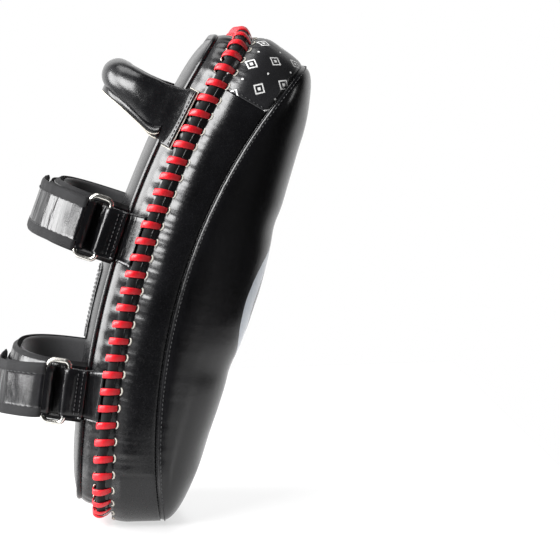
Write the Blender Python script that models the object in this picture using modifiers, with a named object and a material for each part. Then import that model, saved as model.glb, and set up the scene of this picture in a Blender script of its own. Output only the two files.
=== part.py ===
"""Curved Thai kicking pad standing on its lower end.

+Z is up, the strike face looks toward -Y, the forearm side (grip and two
straps) toward +Y, the width runs along X.  Lengths are metres.

The pad is laid out flat (w across, s along the pad from its lower end, d
through its thickness, positive toward the strike face) and bent round one
large radius, so every panel follows the same curve.
"""
import bpy
import bmesh
import math
from mathutils import Vector, Matrix

MM = 0.001

# ---------------------------------------------------------------- dimensions
PAD_HALF_WIDTH = 92 * MM
PAD_LENGTH = 402 * MM            # along the back edge
CORNER_RADIUS = 46 * MM
BEND_RADIUS = 640 * MM           # of the laced edge; the top leans to the strike side
BASE_DEPTH_CENTRE = 26 * MM      # middle of the flat lower end, measured from the laced edge
GAP = 0.3 * MM                   # between neighbouring pieces

GUSSET_MID = 35 * MM             # laced edge to face seam, half way up
GUSSET_LOW_EXTRA = 9.6 * MM
GUSSET_TOP_EXTRA = 11.8 * MM
SKIN = 2.4 * MM                  # leather with its backing

DOME_LOW = 25 * MM               # face rise over the seam near the lower end
DOME_TOP = 26 * MM
DOME_CROWN = 36 * MM             # extra rise at the middle
DOME_SHOULDER = 56 * MM          # width of the rounded border
FLAT_MIDDLE = 30 * MM            # half width of the level middle of the strike face

RIDGE_TILT = (0.6, -0.8)         # direction across the laced ridge (inset, d)
LACE_PITCH = 12.9 * MM
LACE_WIDTH = 5.6 * MM
LACE_THICK = 1.2 * MM
LACE_REACH = 6.0 * MM            # half length of one stitch
BINDING_HALF = 4.7 * MM

PIPING_INSET = 20.5 * MM
PIPING_DEPTH = -17.6 * MM
PIPING_RADIUS = 2.3 * MM
BACK_BULGE = 6.5 * MM

ARCH_HALF = 66 * MM              # strap loop, inside half width
ARCH_RISE = 44 * MM
ARCH_START = -26.5 * MM            # depth where the arch leaves the pad
ARCH_POWER = 2.7
HINGE_DEPTH = -19.7 * MM         # where straps and grip flex on their sewn roots
STRAP_HALF = 23 * MM
FLAP_HALF = 20.5 * MM
TAB_HALF = 19 * MM
RING_WIRE = 1.9 * MM
RING_LEVEL = 15.9 * MM
RING_REACH = 12 * MM             # between the two long bars of the ring
LOWER_STRAP_S = 102 * MM
UPPER_STRAP_S = 221 * MM
LOWER_BAND_DROP = 10 * MM        # the lower band hangs a little down its cuff
UPPER_BAND_DROP = 1 * MM

GRIP_S = 317 * MM
GRIP_HALF = 69 * MM
GRIP_START = -25 * MM
GRIP_RISE = 41.5 * MM
GRIP_LEAN = 0.17                 # the roll sits higher than its roots
GRIP_RADIUS = 12.6 * MM
GRIP_CORE_RADIUS = 9.6 * MM

# ---------------------------------------------------------------- clean start
for obj in list(bpy.data.objects):
    bpy.data.objects.remove(obj, do_unlink=True)

PAD = bpy.data.collections.new("thai_pad")
bpy.context.scene.collection.children.link(PAD)


def material(name, colour, roughness, metallic=0.0):
    mat = bpy.data.materials.new(name)
    mat.use_nodes = True
    bsdf = mat.node_tree.nodes.get("Principled BSDF")
    bsdf.inputs["Base Color"].default_value = (*colour, 1.0)
    bsdf.inputs["Roughness"].default_value = roughness
    bsdf.inputs["Metallic"].default_value = metallic
    mat.diffuse_color = (*colour, 1.0)
    return mat


LEATHER = (0.018, 0.018, 0.02)
COLOURS = {
    "gloss": (LEATHER, 0.28, 0.0),
    "soft": ((0.022, 0.022, 0.024), 0.42, 0.0),
    "woven": ((0.012, 0.012, 0.013), 0.9, 0.0),
    "lace": ((0.62, 0.015, 0.02), 0.45, 0.0),
    "foam": ((0.16, 0.17, 0.2), 0.95, 0.0),
    "board": ((0.05, 0.06, 0.08), 0.9, 0.0),
    "suede": ((0.2, 0.2, 0.21), 0.95, 0.0),
    "nickel": ((0.72, 0.7, 0.66), 0.25, 1.0),
}


# ---------------------------------------------------------------- the bent pad
def spine(s):
    a = s / BEND_RADIUS
    return BEND_RADIUS * (1 - math.cos(a)), BEND_RADIUS * math.sin(a), a


def place(w, s, d):
    """Flat pad coordinates to the standing, bent pad."""
    u, z, a = spine(s)
    return Vector((w, BASE_DEPTH_CENTRE - u - d * math.cos(a), z - d * math.sin(a)))


def frame_at(s, w, d):
    """Rigid frame at one station: x across, y through the pad, z down the pad."""
    a = s / BEND_RADIUS
    m = Matrix.Identity(4)
    m.col[0] = (1, 0, 0, 0)
    m.col[1] = (0, -math.cos(a), -math.sin(a), 0)
    m.col[2] = (0, math.sin(a), -math.cos(a), 0)
    p = place(w, s, d)
    m.col[3] = (p.x, p.y, p.z, 1)
    return m


def gusset(s):
    half = PAD_LENGTH * 0.48
    if s < half:
        return GUSSET_MID + GUSSET_LOW_EXTRA * ((half - s) / half) ** 2
    return GUSSET_MID + GUSSET_TOP_EXTRA * ((s - half) / half) ** 2


def outline(p):
    """Point and outward direction on the rounded edge, p = distance from the
    middle of the lower end, running to +w first."""
    w0, r = PAD_HALF_WIDTH, CORNER_RADIUS
    flat, side, arc = w0 - r, PAD_LENGTH - 2 * r, math.pi / 2 * r
    total = 4 * flat + 2 * side + 4 * arc
    p = p % total
    sign = 1.0
    if p > total / 2:
        p, sign = total - p, -1.0
    if p <= flat:
        w, s, nw, ns = p, 0.0, 0.0, -1.0
    elif p <= flat + arc:
        a = (p - flat) / r
        w, s, nw, ns = flat + r * math.sin(a), r - r * math.cos(a), math.sin(a), -math.cos(a)
    elif p <= flat + arc + side:
        w, s, nw, ns = w0, r + p - flat - arc, 1.0, 0.0
    elif p <= flat + 2 * arc + side:
        a = (p - flat - arc - side) / r
        w, s = flat + r * math.cos(a), PAD_LENGTH - r + r * math.sin(a)
        nw, ns = math.cos(a), math.sin(a)
    else:
        w, s, nw, ns = flat - (p - flat - 2 * arc - side), PAD_LENGTH, 0.0, 1.0
    return sign * w, s, sign * nw, ns


FLAT = PAD_HALF_WIDTH - CORNER_RADIUS
ARC = math.pi / 2 * CORNER_RADIUS
SIDE = PAD_LENGTH - 2 * CORNER_RADIUS
PERIMETER = 4 * FLAT + 2 * SIDE + 4 * ARC
PATCH_START = FLAT + ARC + SIDE - 3.5 * MM
CORNER_STEPS = 4                 # bends round one corner
SIDE_STEPS = 8                   # bends along one long side


def stations(p0, p1):
    """Perimeter stations between p0 and p1, closer together on the corners."""
    quarter = ([FLAT * k / 2 for k in range(2)]
               + [FLAT + ARC * k / CORNER_STEPS for k in range(CORNER_STEPS)]
               + [FLAT + ARC + SIDE * k / SIDE_STEPS for k in range(SIDE_STEPS)]
               + [FLAT + ARC + SIDE + ARC * k / CORNER_STEPS for k in range(CORNER_STEPS)]
               + [FLAT + 2 * ARC + SIDE + FLAT * k / 2 for k in range(2)])
    full = quarter + [PERIMETER / 2] + [PERIMETER - q for q in reversed(quarter[1:])]
    inner = [q for q in full if p0 + 2 * MM < q < p1 - 2 * MM]
    return [p0] + inner + [p1]


def edge_point(p, inset, d):
    w, s, nw, ns = outline(p)
    return place(w - nw * inset, s - ns * inset, d)


def end_tuck(p):
    """The laced ridge sits further in along both ends, and clear of the floor."""
    ns = outline(p)[3]
    return 5.6 * MM * max(0.0, -ns) ** 2 + 3.5 * MM * max(0.0, ns) ** 2


# ---------------------------------------------------------------- makers
def link(obj, colour, parent=None, smooth=True):
    spec = COLOURS[colour]
    obj.data.materials.clear()
    obj.data.materials.append(material(obj.name + "_mat", *spec))
    if obj.name not in PAD.objects:
        PAD.objects.link(obj)
    for poly in obj.data.polygons:
        poly.use_smooth = smooth
    if parent is not None:
        obj.parent = parent
    return obj


def mesh_from(name, verts, faces):
    bm = bmesh.new()
    vs = [bm.verts.new(v) for v in verts]
    for f in faces:
        bm.faces.new([vs[i] for i in f])
    bmesh.ops.recalc_face_normals(bm, faces=bm.faces)
    me = bpy.data.meshes.new(name)
    bm.to_mesh(me)
    bm.free()
    return me


def solidify(obj, thickness, offset):
    mod = obj.modifiers.new("thickness", 'SOLIDIFY')
    mod.thickness = thickness
    mod.offset = offset
    mod.use_even_offset = True
    mod.use_rim = True
    return mod


def strip(name, colour, p0, p1, closed, section, thickness):
    """A leather strip running along the edge; section(p) lists (inset, d)
    across it on its outer side, the thickness is added inward."""
    ps = stations(p0, p1)
    if closed:
        ps = ps[:-1]
    rows = [[edge_point(p, i, d) for i, d in section(p)] for p in ps]
    n = len(rows[0])
    verts = [v for row in rows for v in row]
    faces = []
    count = len(rows)
    for r in range(count if closed else count - 1):
        q = (r + 1) % count
        for c in range(n - 1):
            faces.append((r * n + c, r * n + c + 1, q * n + c + 1, q * n + c))
    me = mesh_from(name, verts, faces)
    orient(me)
    obj = bpy.data.objects.new(name, me)
    PAD.objects.link(obj)
    solidify(obj, thickness, -1)
    return link(obj, colour)


def orient(me):
    """Turn an open skin so its normals point away from the pad's middle line."""
    total = 0.0
    for poly in me.polygons:
        c = poly.center
        s = math.atan2(c.z, BEND_RADIUS) * BEND_RADIUS
        s = min(max(s, 60 * MM), PAD_LENGTH - 60 * MM)
        mid = place(0, s, 20 * MM)
        total += poly.area * poly.normal.dot((c - mid).normalized())
    if total < 0:
        bm = bmesh.new()
        bm.from_mesh(me)
        bmesh.ops.reverse_faces(bm, faces=bm.faces)
        bm.to_mesh(me)
        bm.free()


def ring_at(inset, depth):
    """One closed row of points parallel to the edge, well inside it."""
    hw, r = PAD_HALF_WIDTH - inset, max(CORNER_RADIUS - inset, 7 * MM)
    s0, s1 = inset, PAD_LENGTH - inset
    pts = []

    def corner(cw, cs, a0):
        return [(cw + r * math.cos(a0 + math.pi / 2 * k / CORNER_STEPS),
                 cs + r * math.sin(a0 + math.pi / 2 * k / CORNER_STEPS))
                for k in range(CORNER_STEPS)]

    pts += [(-(hw - r) + (hw - r) * 2 * k / 4, s0) for k in range(4)]
    pts += corner(hw - r, s0 + r, -math.pi / 2)
    pts += [(hw, s0 + r + (s1 - s0 - 2 * r) * k / SIDE_STEPS) for k in range(SIDE_STEPS)]
    pts += corner(hw - r, s1 - r, 0)
    pts += [((hw - r) - (hw - r) * 2 * k / 4, s1) for k in range(4)]
    pts += corner(-(hw - r), s1 - r, math.pi / 2)
    pts += [(-hw, s1 - r - (s1 - s0 - 2 * r) * k / SIDE_STEPS) for k in range(SIDE_STEPS)]
    pts += corner(-(hw - r), s0 + r, math.pi)
    return [place(w, s, depth(w, s, inset)) for w, s in pts]


def rings_mesh(name, rings, close_first=False):
    n = len(rings[0])
    verts = [v for ring in rings for v in ring]
    faces = []
    for k in range(len(rings) - 1):
        for j in range(n):
            i = (j + 1) % n
            faces.append((k * n + j, k * n + i, (k + 1) * n + i, (k + 1) * n + j))

    def ladder(base):
        """Close a long ring with rungs between its two long sides."""
        out = []
        a, b = 4 + 2, n - 1 - 2          # a point on each lower corner
        low = [base + j % n for j in range(b, b + (a - b) % n + 1)]
        out.append(tuple(low))
        while (b - a) % n > 6:
            na, nb = a + 1, b - 1
            out.append((base + a, base + na, base + nb, base + b))
            a, b = na, nb
        out.append(tuple(base + j for j in range(a, b + 1)))
        return out

    faces += ladder((len(rings) - 1) * n)
    if close_first:
        faces += [tuple(reversed(f)) for f in ladder(0)]
    me = mesh_from(name, verts, faces)
    bm = bmesh.new()
    bm.from_mesh(me)
    bmesh.ops.triangulate(bm, faces=[f for f in bm.faces if len(f.verts) > 4])
    bm.to_mesh(me)
    bm.free()
    return me


def tube(name, colour, points, radius, closed, sides=1, parent=None, caps=False):
    cu = bpy.data.curves.new(name, 'CURVE')
    cu.dimensions = '3D'
    cu.bevel_depth = radius
    cu.bevel_resolution = sides
    cu.use_fill_caps = caps
    cu.twist_mode = 'MINIMUM'
    sp = cu.splines.new('POLY')
    sp.points.add(len(points) - 1)
    for pt, co in zip(sp.points, points):
        pt.co = (*co, 1.0)
    sp.use_cyclic_u = closed
    tmp = bpy.data.objects.new(name + "_path", cu)
    PAD.objects.link(tmp)
    dg = bpy.context.evaluated_depsgraph_get()
    me = bpy.data.meshes.new_from_object(tmp.evaluated_get(dg))
    bpy.data.objects.remove(tmp, do_unlink=True)
    bpy.data.curves.remove(cu)
    bm = bmesh.new()
    bm.from_mesh(me)
    bmesh.ops.remove_doubles(bm, verts=bm.verts, dist=0.02 * MM)
    bmesh.ops.recalc_face_normals(bm, faces=bm.faces)
    bm.to_mesh(me)
    bm.free()
    me.name = name
    obj = bpy.data.objects.new(name, me)
    PAD.objects.link(obj)
    return link(obj, colour, parent)


def empty(name, matrix, parent=None):
    e = bpy.data.objects.new(name, None)
    e.empty_display_size = 0.02
    PAD.objects.link(e)
    if parent is not None:
        e.parent = parent
        e.matrix_local = parent["at"] and (mat_of(parent).inverted() @ matrix)
    else:
        e.matrix_local = matrix
    e["at"] = 1
    WORLD[e.name] = matrix.copy()
    return e


WORLD = {}


def mat_of(e):
    return WORLD[e.name]


# ---------------------------------------------------------------- outer skins
def crown(w):
    """Share of the dome reached at w: level across the middle, lower towards the sides."""
    return 0.785 + 0.24 * (1 - (max(abs(w), FLAT_MIDDLE) / PAD_HALF_WIDTH) ** 2)


def rise(s):
    k = min(max(s / PAD_LENGTH, 0.0), 1.0)
    return DOME_LOW + (DOME_TOP - DOME_LOW) * k + DOME_CROWN * math.sin(math.pi * k) ** 1.3


def shoulder(i, width=DOME_SHOULDER):
    k = min(max(i / width, 0.0), 1.0)
    return math.sqrt(max(0.0, 1 - (1 - k) ** 2))


def face_depth(w, s, inset):
    return gusset(s) + 0.8 * MM + rise(s) * crown(w) * shoulder(inset)


def back_depth(w, s, inset):
    return PIPING_DEPTH + 0.5 * MM - BACK_BULGE * shoulder(inset - 23.3 * MM, 40 * MM)


face = bpy.data.objects.new("face_panel", rings_mesh(
    "face_panel", [ring_at(i * MM, face_depth) for i in (0, 1.6, 6, 13, 23, 36, 56, 79)]))
PAD.objects.link(face)
orient(face.data)
solidify(face, SKIN, -1)
link(face, "gloss")


def gusset_section(p):
    s = outline(p)[1]
    t = end_tuck(p)
    return [(0, gusset(s) - GAP / 2), (0, 12 * MM), (t + 0.9 * MM, 4.6 * MM)]


strip("gusset_right", "gloss", GAP / 2, PATCH_START - GAP / 2, False, gusset_section, SKIN)
strip("gusset_left", "gloss", PERIMETER - PATCH_START + GAP / 2, PERIMETER - GAP / 2,
      False, gusset_section, SKIN)
strip("gusset_top_patch", "gloss", PATCH_START + GAP / 2, PERIMETER - PATCH_START - GAP / 2,
      False, gusset_section, SKIN)


def rim_section(p):
    t = end_tuck(p)
    return [(t + 7.5 * MM, -4.4 * MM), (PIPING_INSET - 3.0 * MM, PIPING_DEPTH + 1.6 * MM)]


strip("back_rim_panel", "gloss", 0, PERIMETER, True, rim_section, SKIN)

back = bpy.data.objects.new("back_panel", rings_mesh(
    "back_panel", [ring_at(i * MM, back_depth) for i in (23.3, 26, 33, 46, 64, 80)]))
PAD.objects.link(back)
orient(back.data)
solidify(back, SKIN, -1)
link(back, "soft")

tube("back_piping", "soft",
     [edge_point(p, PIPING_INSET, PIPING_DEPTH) for p in stations(0, PERIMETER)[:-1]],
     PIPING_RADIUS, True)


# ---------------------------------------------------------------- laced ridge
EW, ED = RIDGE_TILT
NW, ND = -0.8, -0.6


def ridge(p, e, n):
    """A point on the laced ridge: e across it, n out of it."""
    t = end_tuck(p)
    i0, d0 = t + 4.3 * MM, 0.2 * MM
    return edge_point(p, i0 + EW * e + NW * n, d0 + ED * e + ND * n)


BIND_LOW, BIND_HIGH = 3.3 * MM, 4.4 * MM
rows = stations(0, PERIMETER)[:-1]
verts, faces = [], []
for p in rows:
    for e, n in ((-BINDING_HALF, BIND_LOW), (BINDING_HALF, BIND_LOW),
                 (BINDING_HALF, BIND_HIGH), (-BINDING_HALF, BIND_HIGH)):
        verts.append(ridge(p, e, n))
for r in range(len(rows)):
    q = (r + 1) % len(rows)
    for c in range(4):
        k = (c + 1) % 4
        faces.append((r * 4 + c, r * 4 + k, q * 4 + k, q * 4 + c))
binding = bpy.data.objects.new("lace_binding", mesh_from("lace_binding", verts, faces))
PAD.objects.link(binding)
link(binding, "woven", smooth=False)

# one lace wound over the binding, stitch after stitch, all the way round
stitches = int(round(PERIMETER / LACE_PITCH))
pitch = PERIMETER / stitches
low, high = 1.0 * MM, 6.3 * MM
verts, faces = [], []
for k in range(stitches):
    p = k * pitch
    h, t = LACE_WIDTH / 2, LACE_THICK
    # the four bends of one turn, each a flat cross-section of the lace
    turn = ((p, -LACE_REACH, high, 1), (p, LACE_REACH, high, 1),
            (p, LACE_REACH, low, -1), (p + pitch, -LACE_REACH, low, -1))
    for q, e, n, side in turn:
        out_e = math.copysign(t, e)
        inner_n = n - t * side
        verts.append(ridge(q - h, e + out_e * 0.0 + out_e, n))
        verts.append(ridge(q + h, e + out_e, n))
        verts.append(ridge(q + h, e, inner_n))
        verts.append(ridge(q - h, e, inner_n))
turns = 4 * stitches
for r in range(turns):
    q = (r + 1) % turns
    for c in range(4):
        k = (c + 1) % 4
        faces.append((r * 4 + c, r * 4 + k, q * 4 + k, q * 4 + c))
lace = bpy.data.objects.new("red_lace", mesh_from("red_lace", verts, faces))
PAD.objects.link(lace)
link(lace, "lace", smooth=False)


# ---------------------------------------------------------------- padding inside
def layer(name, colour, insets, top, bottom, under=None):
    """A block of padding between two depth surfaces, built from rings."""
    rings = [ring_at(i * MM, bottom) for i in reversed(under or insets)]
    rings += [ring_at(i * MM, top) for i in insets]
    me = rings_mesh(name, rings, close_first=True)
    bm = bmesh.new()
    bm.from_mesh(me)
    bmesh.ops.recalc_face_normals(bm, faces=bm.faces)
    bm.to_mesh(me)
    bm.free()
    obj = bpy.data.objects.new(name, me)
    PAD.objects.link(obj)
    return link(obj, colour)


def foam_top(w, s, inset):
    lift = rise(s) * crown(w) * shoulder(inset - 3.4 * MM) - 3.6 * MM
    return gusset(s) + 1.0 * MM + max(lift, 0.6 * MM)


layer("strike_foam", "foam", (4.4, 8, 14, 24, 50, 79), foam_top,
      lambda w, s, i: gusset(s) + 1.0 * MM, (4.4, 42, 79))
layer("middle_foam", "foam", (3.2, 41, 79), lambda w, s, i: gusset(s) - 0.4 * MM,
      lambda w, s, i: 14.6 * MM)
layer("inner_foam", "foam", (18.5, 48, 79), lambda w, s, i: 13.2 * MM, lambda w, s, i: -9.4 * MM)
layer("back_board", "board", (24.5, 52, 79), lambda w, s, i: -11.2 * MM,
      lambda w, s, i: back_depth(w, s, i) + 4.4 * MM)


# ---------------------------------------------------------------- blank back label
def surface_patch(name, colour, s0, s1, half, lift, thickness):
    cols, rws = 5, 5
    verts = []
    for r in range(rws):
        s = s0 + (s1 - s0) * r / (rws - 1)
        for c in range(cols):
            w = -half + 2 * half * c / (cols - 1)
            verts.append(place(w, s, back_depth(w, s, PAD_HALF_WIDTH - abs(w)) - lift))
    faces = [(r * cols + c, r * cols + c + 1, (r + 1) * cols + c + 1, (r + 1) * cols + c)
             for r in range(rws - 1) for c in range(cols - 1)]
    me = mesh_from(name, verts, faces)
    orient(me)
    obj = bpy.data.objects.new(name, me)
    PAD.objects.link(obj)
    solidify(obj, thickness, 1)
    return link(obj, colour, smooth=False)


surface_patch("back_label", "soft", 136 * MM, 190 * MM, 34 * MM, 0.6 * MM, 1.2 * MM)


# ---------------------------------------------------------------- strap arch
def arch_curve():
    pts = []
    n = 96
    for k in range(n + 1):
        a = math.pi * k / n
        c, s = math.cos(a), math.sin(a)
        pts.append((-ARCH_HALF * math.copysign(abs(c) ** (2 / ARCH_POWER), c),
                    ARCH_START - ARCH_RISE * abs(s) ** (2 / ARCH_POWER)))
    lengths = [0.0]
    for a, b in zip(pts, pts[1:]):
        lengths.append(lengths[-1] + math.hypot(b[0] - a[0], b[1] - a[1]))
    return pts, lengths


ARCH, ARCH_LEN = arch_curve()
ARCH_TOTAL = ARCH_LEN[-1]


def arch_at(sig, off):
    """(w, d) on the strap arch, sig along it from the near root, off outward."""
    sig = min(max(sig, 0.0), ARCH_TOTAL)

    def at(x):
        x = min(max(x, 0.0), ARCH_TOTAL)
        j = 0
        while j < len(ARCH_LEN) - 2 and ARCH_LEN[j + 1] < x:
            j += 1
        f = (x - ARCH_LEN[j]) / (ARCH_LEN[j + 1] - ARCH_LEN[j])
        a, b = ARCH[j], ARCH[j + 1]
        return a[0] + f * (b[0] - a[0]), a[1] + f * (b[1] - a[1])

    a, b = at(sig - 5 * MM), at(sig + 5 * MM)
    tw, td = b[0] - a[0], b[1] - a[1]
    ln = math.hypot(tw, td)
    tw, td = tw / ln, td / ln
    w, d = at(sig)
    # outward is away from the pad and from the middle of the loop
    return w + td * off, d - tw * off


def sheet(name, colour, path, cols, thickness, parent, origin, skip=None, smooth=True, v_tip=None,
          side=1, drops=None):
    """A strap layer: path = (w, d) points along it, cols = positions across
    it; thickness is added on the outer side."""
    verts = []
    last = len(path) - 1
    for r, (w, d) in enumerate(path):
        for c in cols:
            shift = 0.0
            if v_tip is not None and r == v_tip:
                shift = 5.6 * MM * abs(c) / max(cols)
            verts.append((w - origin[0], d - shift - origin[1], c + (drops[r] if drops else 0.0)))
    n = len(cols)
    faces = []
    for r in range(last):
        for c in range(n - 1):
            if skip and skip(r, c, last):
                continue
            faces.append((r * n + c, r * n + c + 1, (r + 1) * n + c + 1, (r + 1) * n + c))
    bm = bmesh.new()
    vs = [bm.verts.new(v) for v in verts]
    for f in faces:
        bm.faces.new([vs[i] for i in f])
    bmesh.ops.recalc_face_normals(bm, faces=bm.faces)
    loose = [v for v in bm.verts if not v.link_faces]
    bmesh.ops.delete(bm, geom=loose, context='VERTS')
    bm.normal_update()
    # thickness goes outward: away from the middle of the loop
    total = sum(f.calc_area() * f.normal.dot(f.calc_center_median()
                - Vector((-origin[0], -18 * MM - origin[1], 0))) for f in bm.faces)
    if total < 0:
        bmesh.ops.reverse_faces(bm, faces=bm.faces)
    me = bpy.data.meshes.new(name)
    bm.to_mesh(me)
    bm.free()
    obj = bpy.data.objects.new(name, me)
    PAD.objects.link(obj)
    solidify(obj, thickness, side)
    return link(obj, colour, parent, smooth)


SIG_A = 5 * MM                   # the ring's bar in the tab
SIG_B = SIG_A + RING_REACH       # the ring's bar under the flap
FLAP_END = ARCH_TOTAL * 0.66
SPREAD = (-1.0, 0.0, 1.0)
STEP = (FLAP_END - SIG_B) / 13   # every layer bends at the same stations


def stations_between(a, b):
    stops = [1 * MM, SIG_A, SIG_A + 8 * MM]
    k = 0
    while SIG_B + k * STEP < ARCH_TOTAL - 2 * MM:
        stops.append(SIG_B + k * STEP)
        k += 1
    stops.append(ARCH_TOTAL - 1 * MM)
    return [x for x in stops if a - 0.1 * MM <= x <= b + 0.1 * MM]


def span(a, b, off):
    """Points along the arch between a and b, at the shared stations."""
    return [arch_at(x, off(x) if callable(off) else off) for x in stations_between(a, b)]


def sag(a, b, drop):
    """How far the band has slipped down its cuff at each of those stations."""
    return [drop * math.sin(math.pi * min(max((x - SIG_B) / (ARCH_TOTAL - SIG_B), 0.0), 1.0)) ** 0.8
            for x in stations_between(a, b)]


def stop(k):
    return SIG_B + k * STEP


def anchor(name, s, side, base_half, top_half):
    """Leather root sewn to the rim, its free edge ending at the flexing line."""
    x = PAD_HALF_WIDTH - 11.6 * MM
    heights = (-9.6 * MM, HINGE_DEPTH + GAP)
    bm = bmesh.new()
    grid = []
    for d, half in zip(heights, (base_half, top_half)):
        grid.append([bm.verts.new((side * x, d, c * half)) for c in (-1, 0, 1)])
    for c in range(2):
        bm.faces.new((grid[0][c], grid[0][c + 1], grid[1][c + 1], grid[1][c]))
    bmesh.ops.recalc_face_normals(bm, faces=bm.faces)
    bm.normal_update()
    if sum(f.normal.x * side for f in bm.faces) < 0:
        bmesh.ops.reverse_faces(bm, faces=bm.faces)
    me = bpy.data.meshes.new(name)
    bm.to_mesh(me)
    bm.free()
    obj = bpy.data.objects.new(name, me)
    PAD.objects.link(obj)
    obj.matrix_world = frame_at(s, 0, 0)
    solidify(obj, 2.0 * MM, 1)
    return link(obj, "gloss")


def strap(tag, s, drop):
    hinge = empty(tag + "_loop_axis", frame_at(s, 0, HINGE_DEPTH))
    o = (0.0, HINGE_DEPTH)
    full = [c * STRAP_HALF for c in (-1, 1)]
    sheet(tag + "_strap_lining", "suede", span(0, ARCH_TOTAL, 0), full,
          1.4 * MM, hinge, o)
    sheet(tag + "_strap_sleeve", "gloss", span(0, ARCH_TOTAL, 1.7 * MM), full,
          7.5 * MM, hinge, o)
    flap = [c * FLAP_HALF for c in (-1, 1)]
    sheet(tag + "_strap_band", "gloss", span(SIG_B, ARCH_TOTAL, 9.6 * MM), flap,
          2.2 * MM, hinge, o, drops=sag(SIG_B, ARCH_TOTAL, drop))
    tape = [c * 15 * MM for c in (-1, 1)]
    sheet(tag + "_loop_tape", "woven", span(stop(3), stop(15), 12.1 * MM),
          tape, 1.0 * MM, hinge, o, drops=sag(stop(3), stop(15), drop))
    # leather tabs: near one folds round the ring's bar, far one joins the band
    a_w, a_d = arch_at(SIG_A, RING_LEVEL)
    tabs = [c * TAB_HALF for c in SPREAD]
    x = -(PAD_HALF_WIDTH - 11.6 * MM)
    near = [(x, HINGE_DEPTH), (x, HINGE_DEPTH - 6.5 * MM)]
    r = RING_WIRE + 1.3 * MM
    near += [(a_w + r * math.cos(t), a_d + r * math.sin(t))
             for t in [math.radians(g) for g in (70, 20, -35, -90, -145, -200)]]
    sheet(tag + "_ring_tab", "gloss", near, tabs, 1.7 * MM, hinge, o, v_tip=0, side=-1)
    xf = -x
    far = [(xf, HINGE_DEPTH), (xf, HINGE_DEPTH - 7 * MM)]
    far += [arch_at(ARCH_TOTAL - g * MM, 12.2 * MM) for g in (6, 12, 18, 25)]
    sheet(tag + "_far_tab", "gloss", far, tabs, 1.8 * MM, hinge, o, v_tip=0)
    # ring: a rounded rectangle of wire, long bars across the strap
    b_w, b_d = arch_at(SIG_B, RING_LEVEL)
    ring_m = frame_at(s, a_w, a_d)
    ring_axis = empty(tag + "_ring_axis", ring_m, hinge)
    reach = math.hypot(b_w - a_w, b_d - a_d)
    ux, uy = (b_w - a_w) / reach, (b_d - a_d) / reach
    half, rc = 23.4 * MM, 4.4 * MM
    pts = []
    for cx, cz, a0 in ((reach - rc, half - rc, 0), (rc, half - rc, 90),
                       (rc, -half + rc, 180), (reach - rc, -half + rc, 270)):
        for k in range(5):
            t = math.radians(a0 + 22.5 * k)
            q, z = cx + rc * math.cos(t), cz + rc * math.sin(t)
            pts.append((ux * q, uy * q, z))
    tube(tag + "_ring", "nickel", pts, RING_WIRE, True, sides=2, parent=ring_axis)
    # flap: leaves the ring's outer bar and lies back over the band
    flap_axis = empty(tag + "_flap_axis", frame_at(s, b_w, b_d), hinge)
    fo = (b_w, b_d)

    def lie(sig):
        k = min(max((sig - SIG_B) / (20 * MM), 0.0), 1.0)
        k = k * k * (3 - 2 * k)
        return (RING_LEVEL + RING_WIRE + 1.9 * MM) * (1 - k) + 14.9 * MM * k

    sheet(tag + "_strap_flap", "gloss", span(SIG_B, FLAP_END, lie), flap, 2.8 * MM,
          flap_axis, fo, drops=sag(SIG_B, FLAP_END, drop))
    sheet(tag + "_hook_tape", "woven", span(stop(4), stop(12), 13.5 * MM),
          tape, 1.0 * MM, flap_axis, fo, drops=sag(stop(4), stop(12), drop))
    edge = [c * MM for c in (-20.5, -14.5, 14.5, 20.5)]
    sheet(tag + "_flap_binding", "woven",
          span(stop(1), FLAP_END, lambda g: lie(g) + 3.15 * MM),
          edge, 1.1 * MM, flap_axis, fo, skip=lambda r, c, last: c == 1 and r < last - 1,
          drops=sag(stop(1), FLAP_END, drop))
    anchor(tag + "_ring_tab_root", s, -1, 22 * MM, TAB_HALF)
    anchor(tag + "_far_tab_root", s, 1, 22 * MM, TAB_HALF)


strap("lower", LOWER_STRAP_S, LOWER_BAND_DROP)
strap("upper", UPPER_STRAP_S, UPPER_BAND_DROP)


# ---------------------------------------------------------------- grip
def grip_path(n=14):
    pts = []
    for k in range(n + 1):
        a = math.pi * k / n
        c, s = math.cos(a), math.sin(a)
        d = GRIP_START - GRIP_RISE * abs(s) ** (2 / 2.9)
        pts.append((-GRIP_HALF * math.copysign(abs(c) ** (2 / 2.9), c),
                    d, GRIP_LEAN * (d - GRIP_START)))
    return pts


grip_axis = empty("grip_axis", frame_at(GRIP_S, 0, HINGE_DEPTH))
GRIP_LOCAL = [(w, d - HINGE_DEPTH, z) for w, d, z in grip_path()]


def pipe_mesh(name, path, outer, inner, sides):
    """Padded tube along a path with open ends (inner > 0) or a solid core."""
    verts, faces = [], []
    n = len(path)
    radii = (outer, inner)
    for r_i, rad in enumerate(radii):
        for k, q in enumerate(path):
            a = Vector(path[max(k - 1, 0)])
            b = Vector(path[min(k + 1, n - 1)])
            t = (b - a).normalized()
            if k == 0:
                t = Vector((0, -1, 0))
            if k == n - 1:
                t = Vector((0, 1, 0))
            side = Vector((0, 0, 1))
            up = side.cross(t)
            for j in range(sides):
                g = 2 * math.pi * j / sides
                verts.append(Vector(q) + up * (rad * math.cos(g)) + side * (rad * math.sin(g)))
    half = n * sides
    for base in (0, half):
        for k in range(n - 1):
            for j in range(sides):
                i = (j + 1) % sides
                faces.append((base + k * sides + j, base + k * sides + i,
                              base + (k + 1) * sides + i, base + (k + 1) * sides + j))
    for k in (0, n - 1):
        for j in range(sides):
            i = (j + 1) % sides
            faces.append((k * sides + j, k * sides + i, half + k * sides + i, half + k * sides + j))
    return mesh_from(name, verts, faces)


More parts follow.
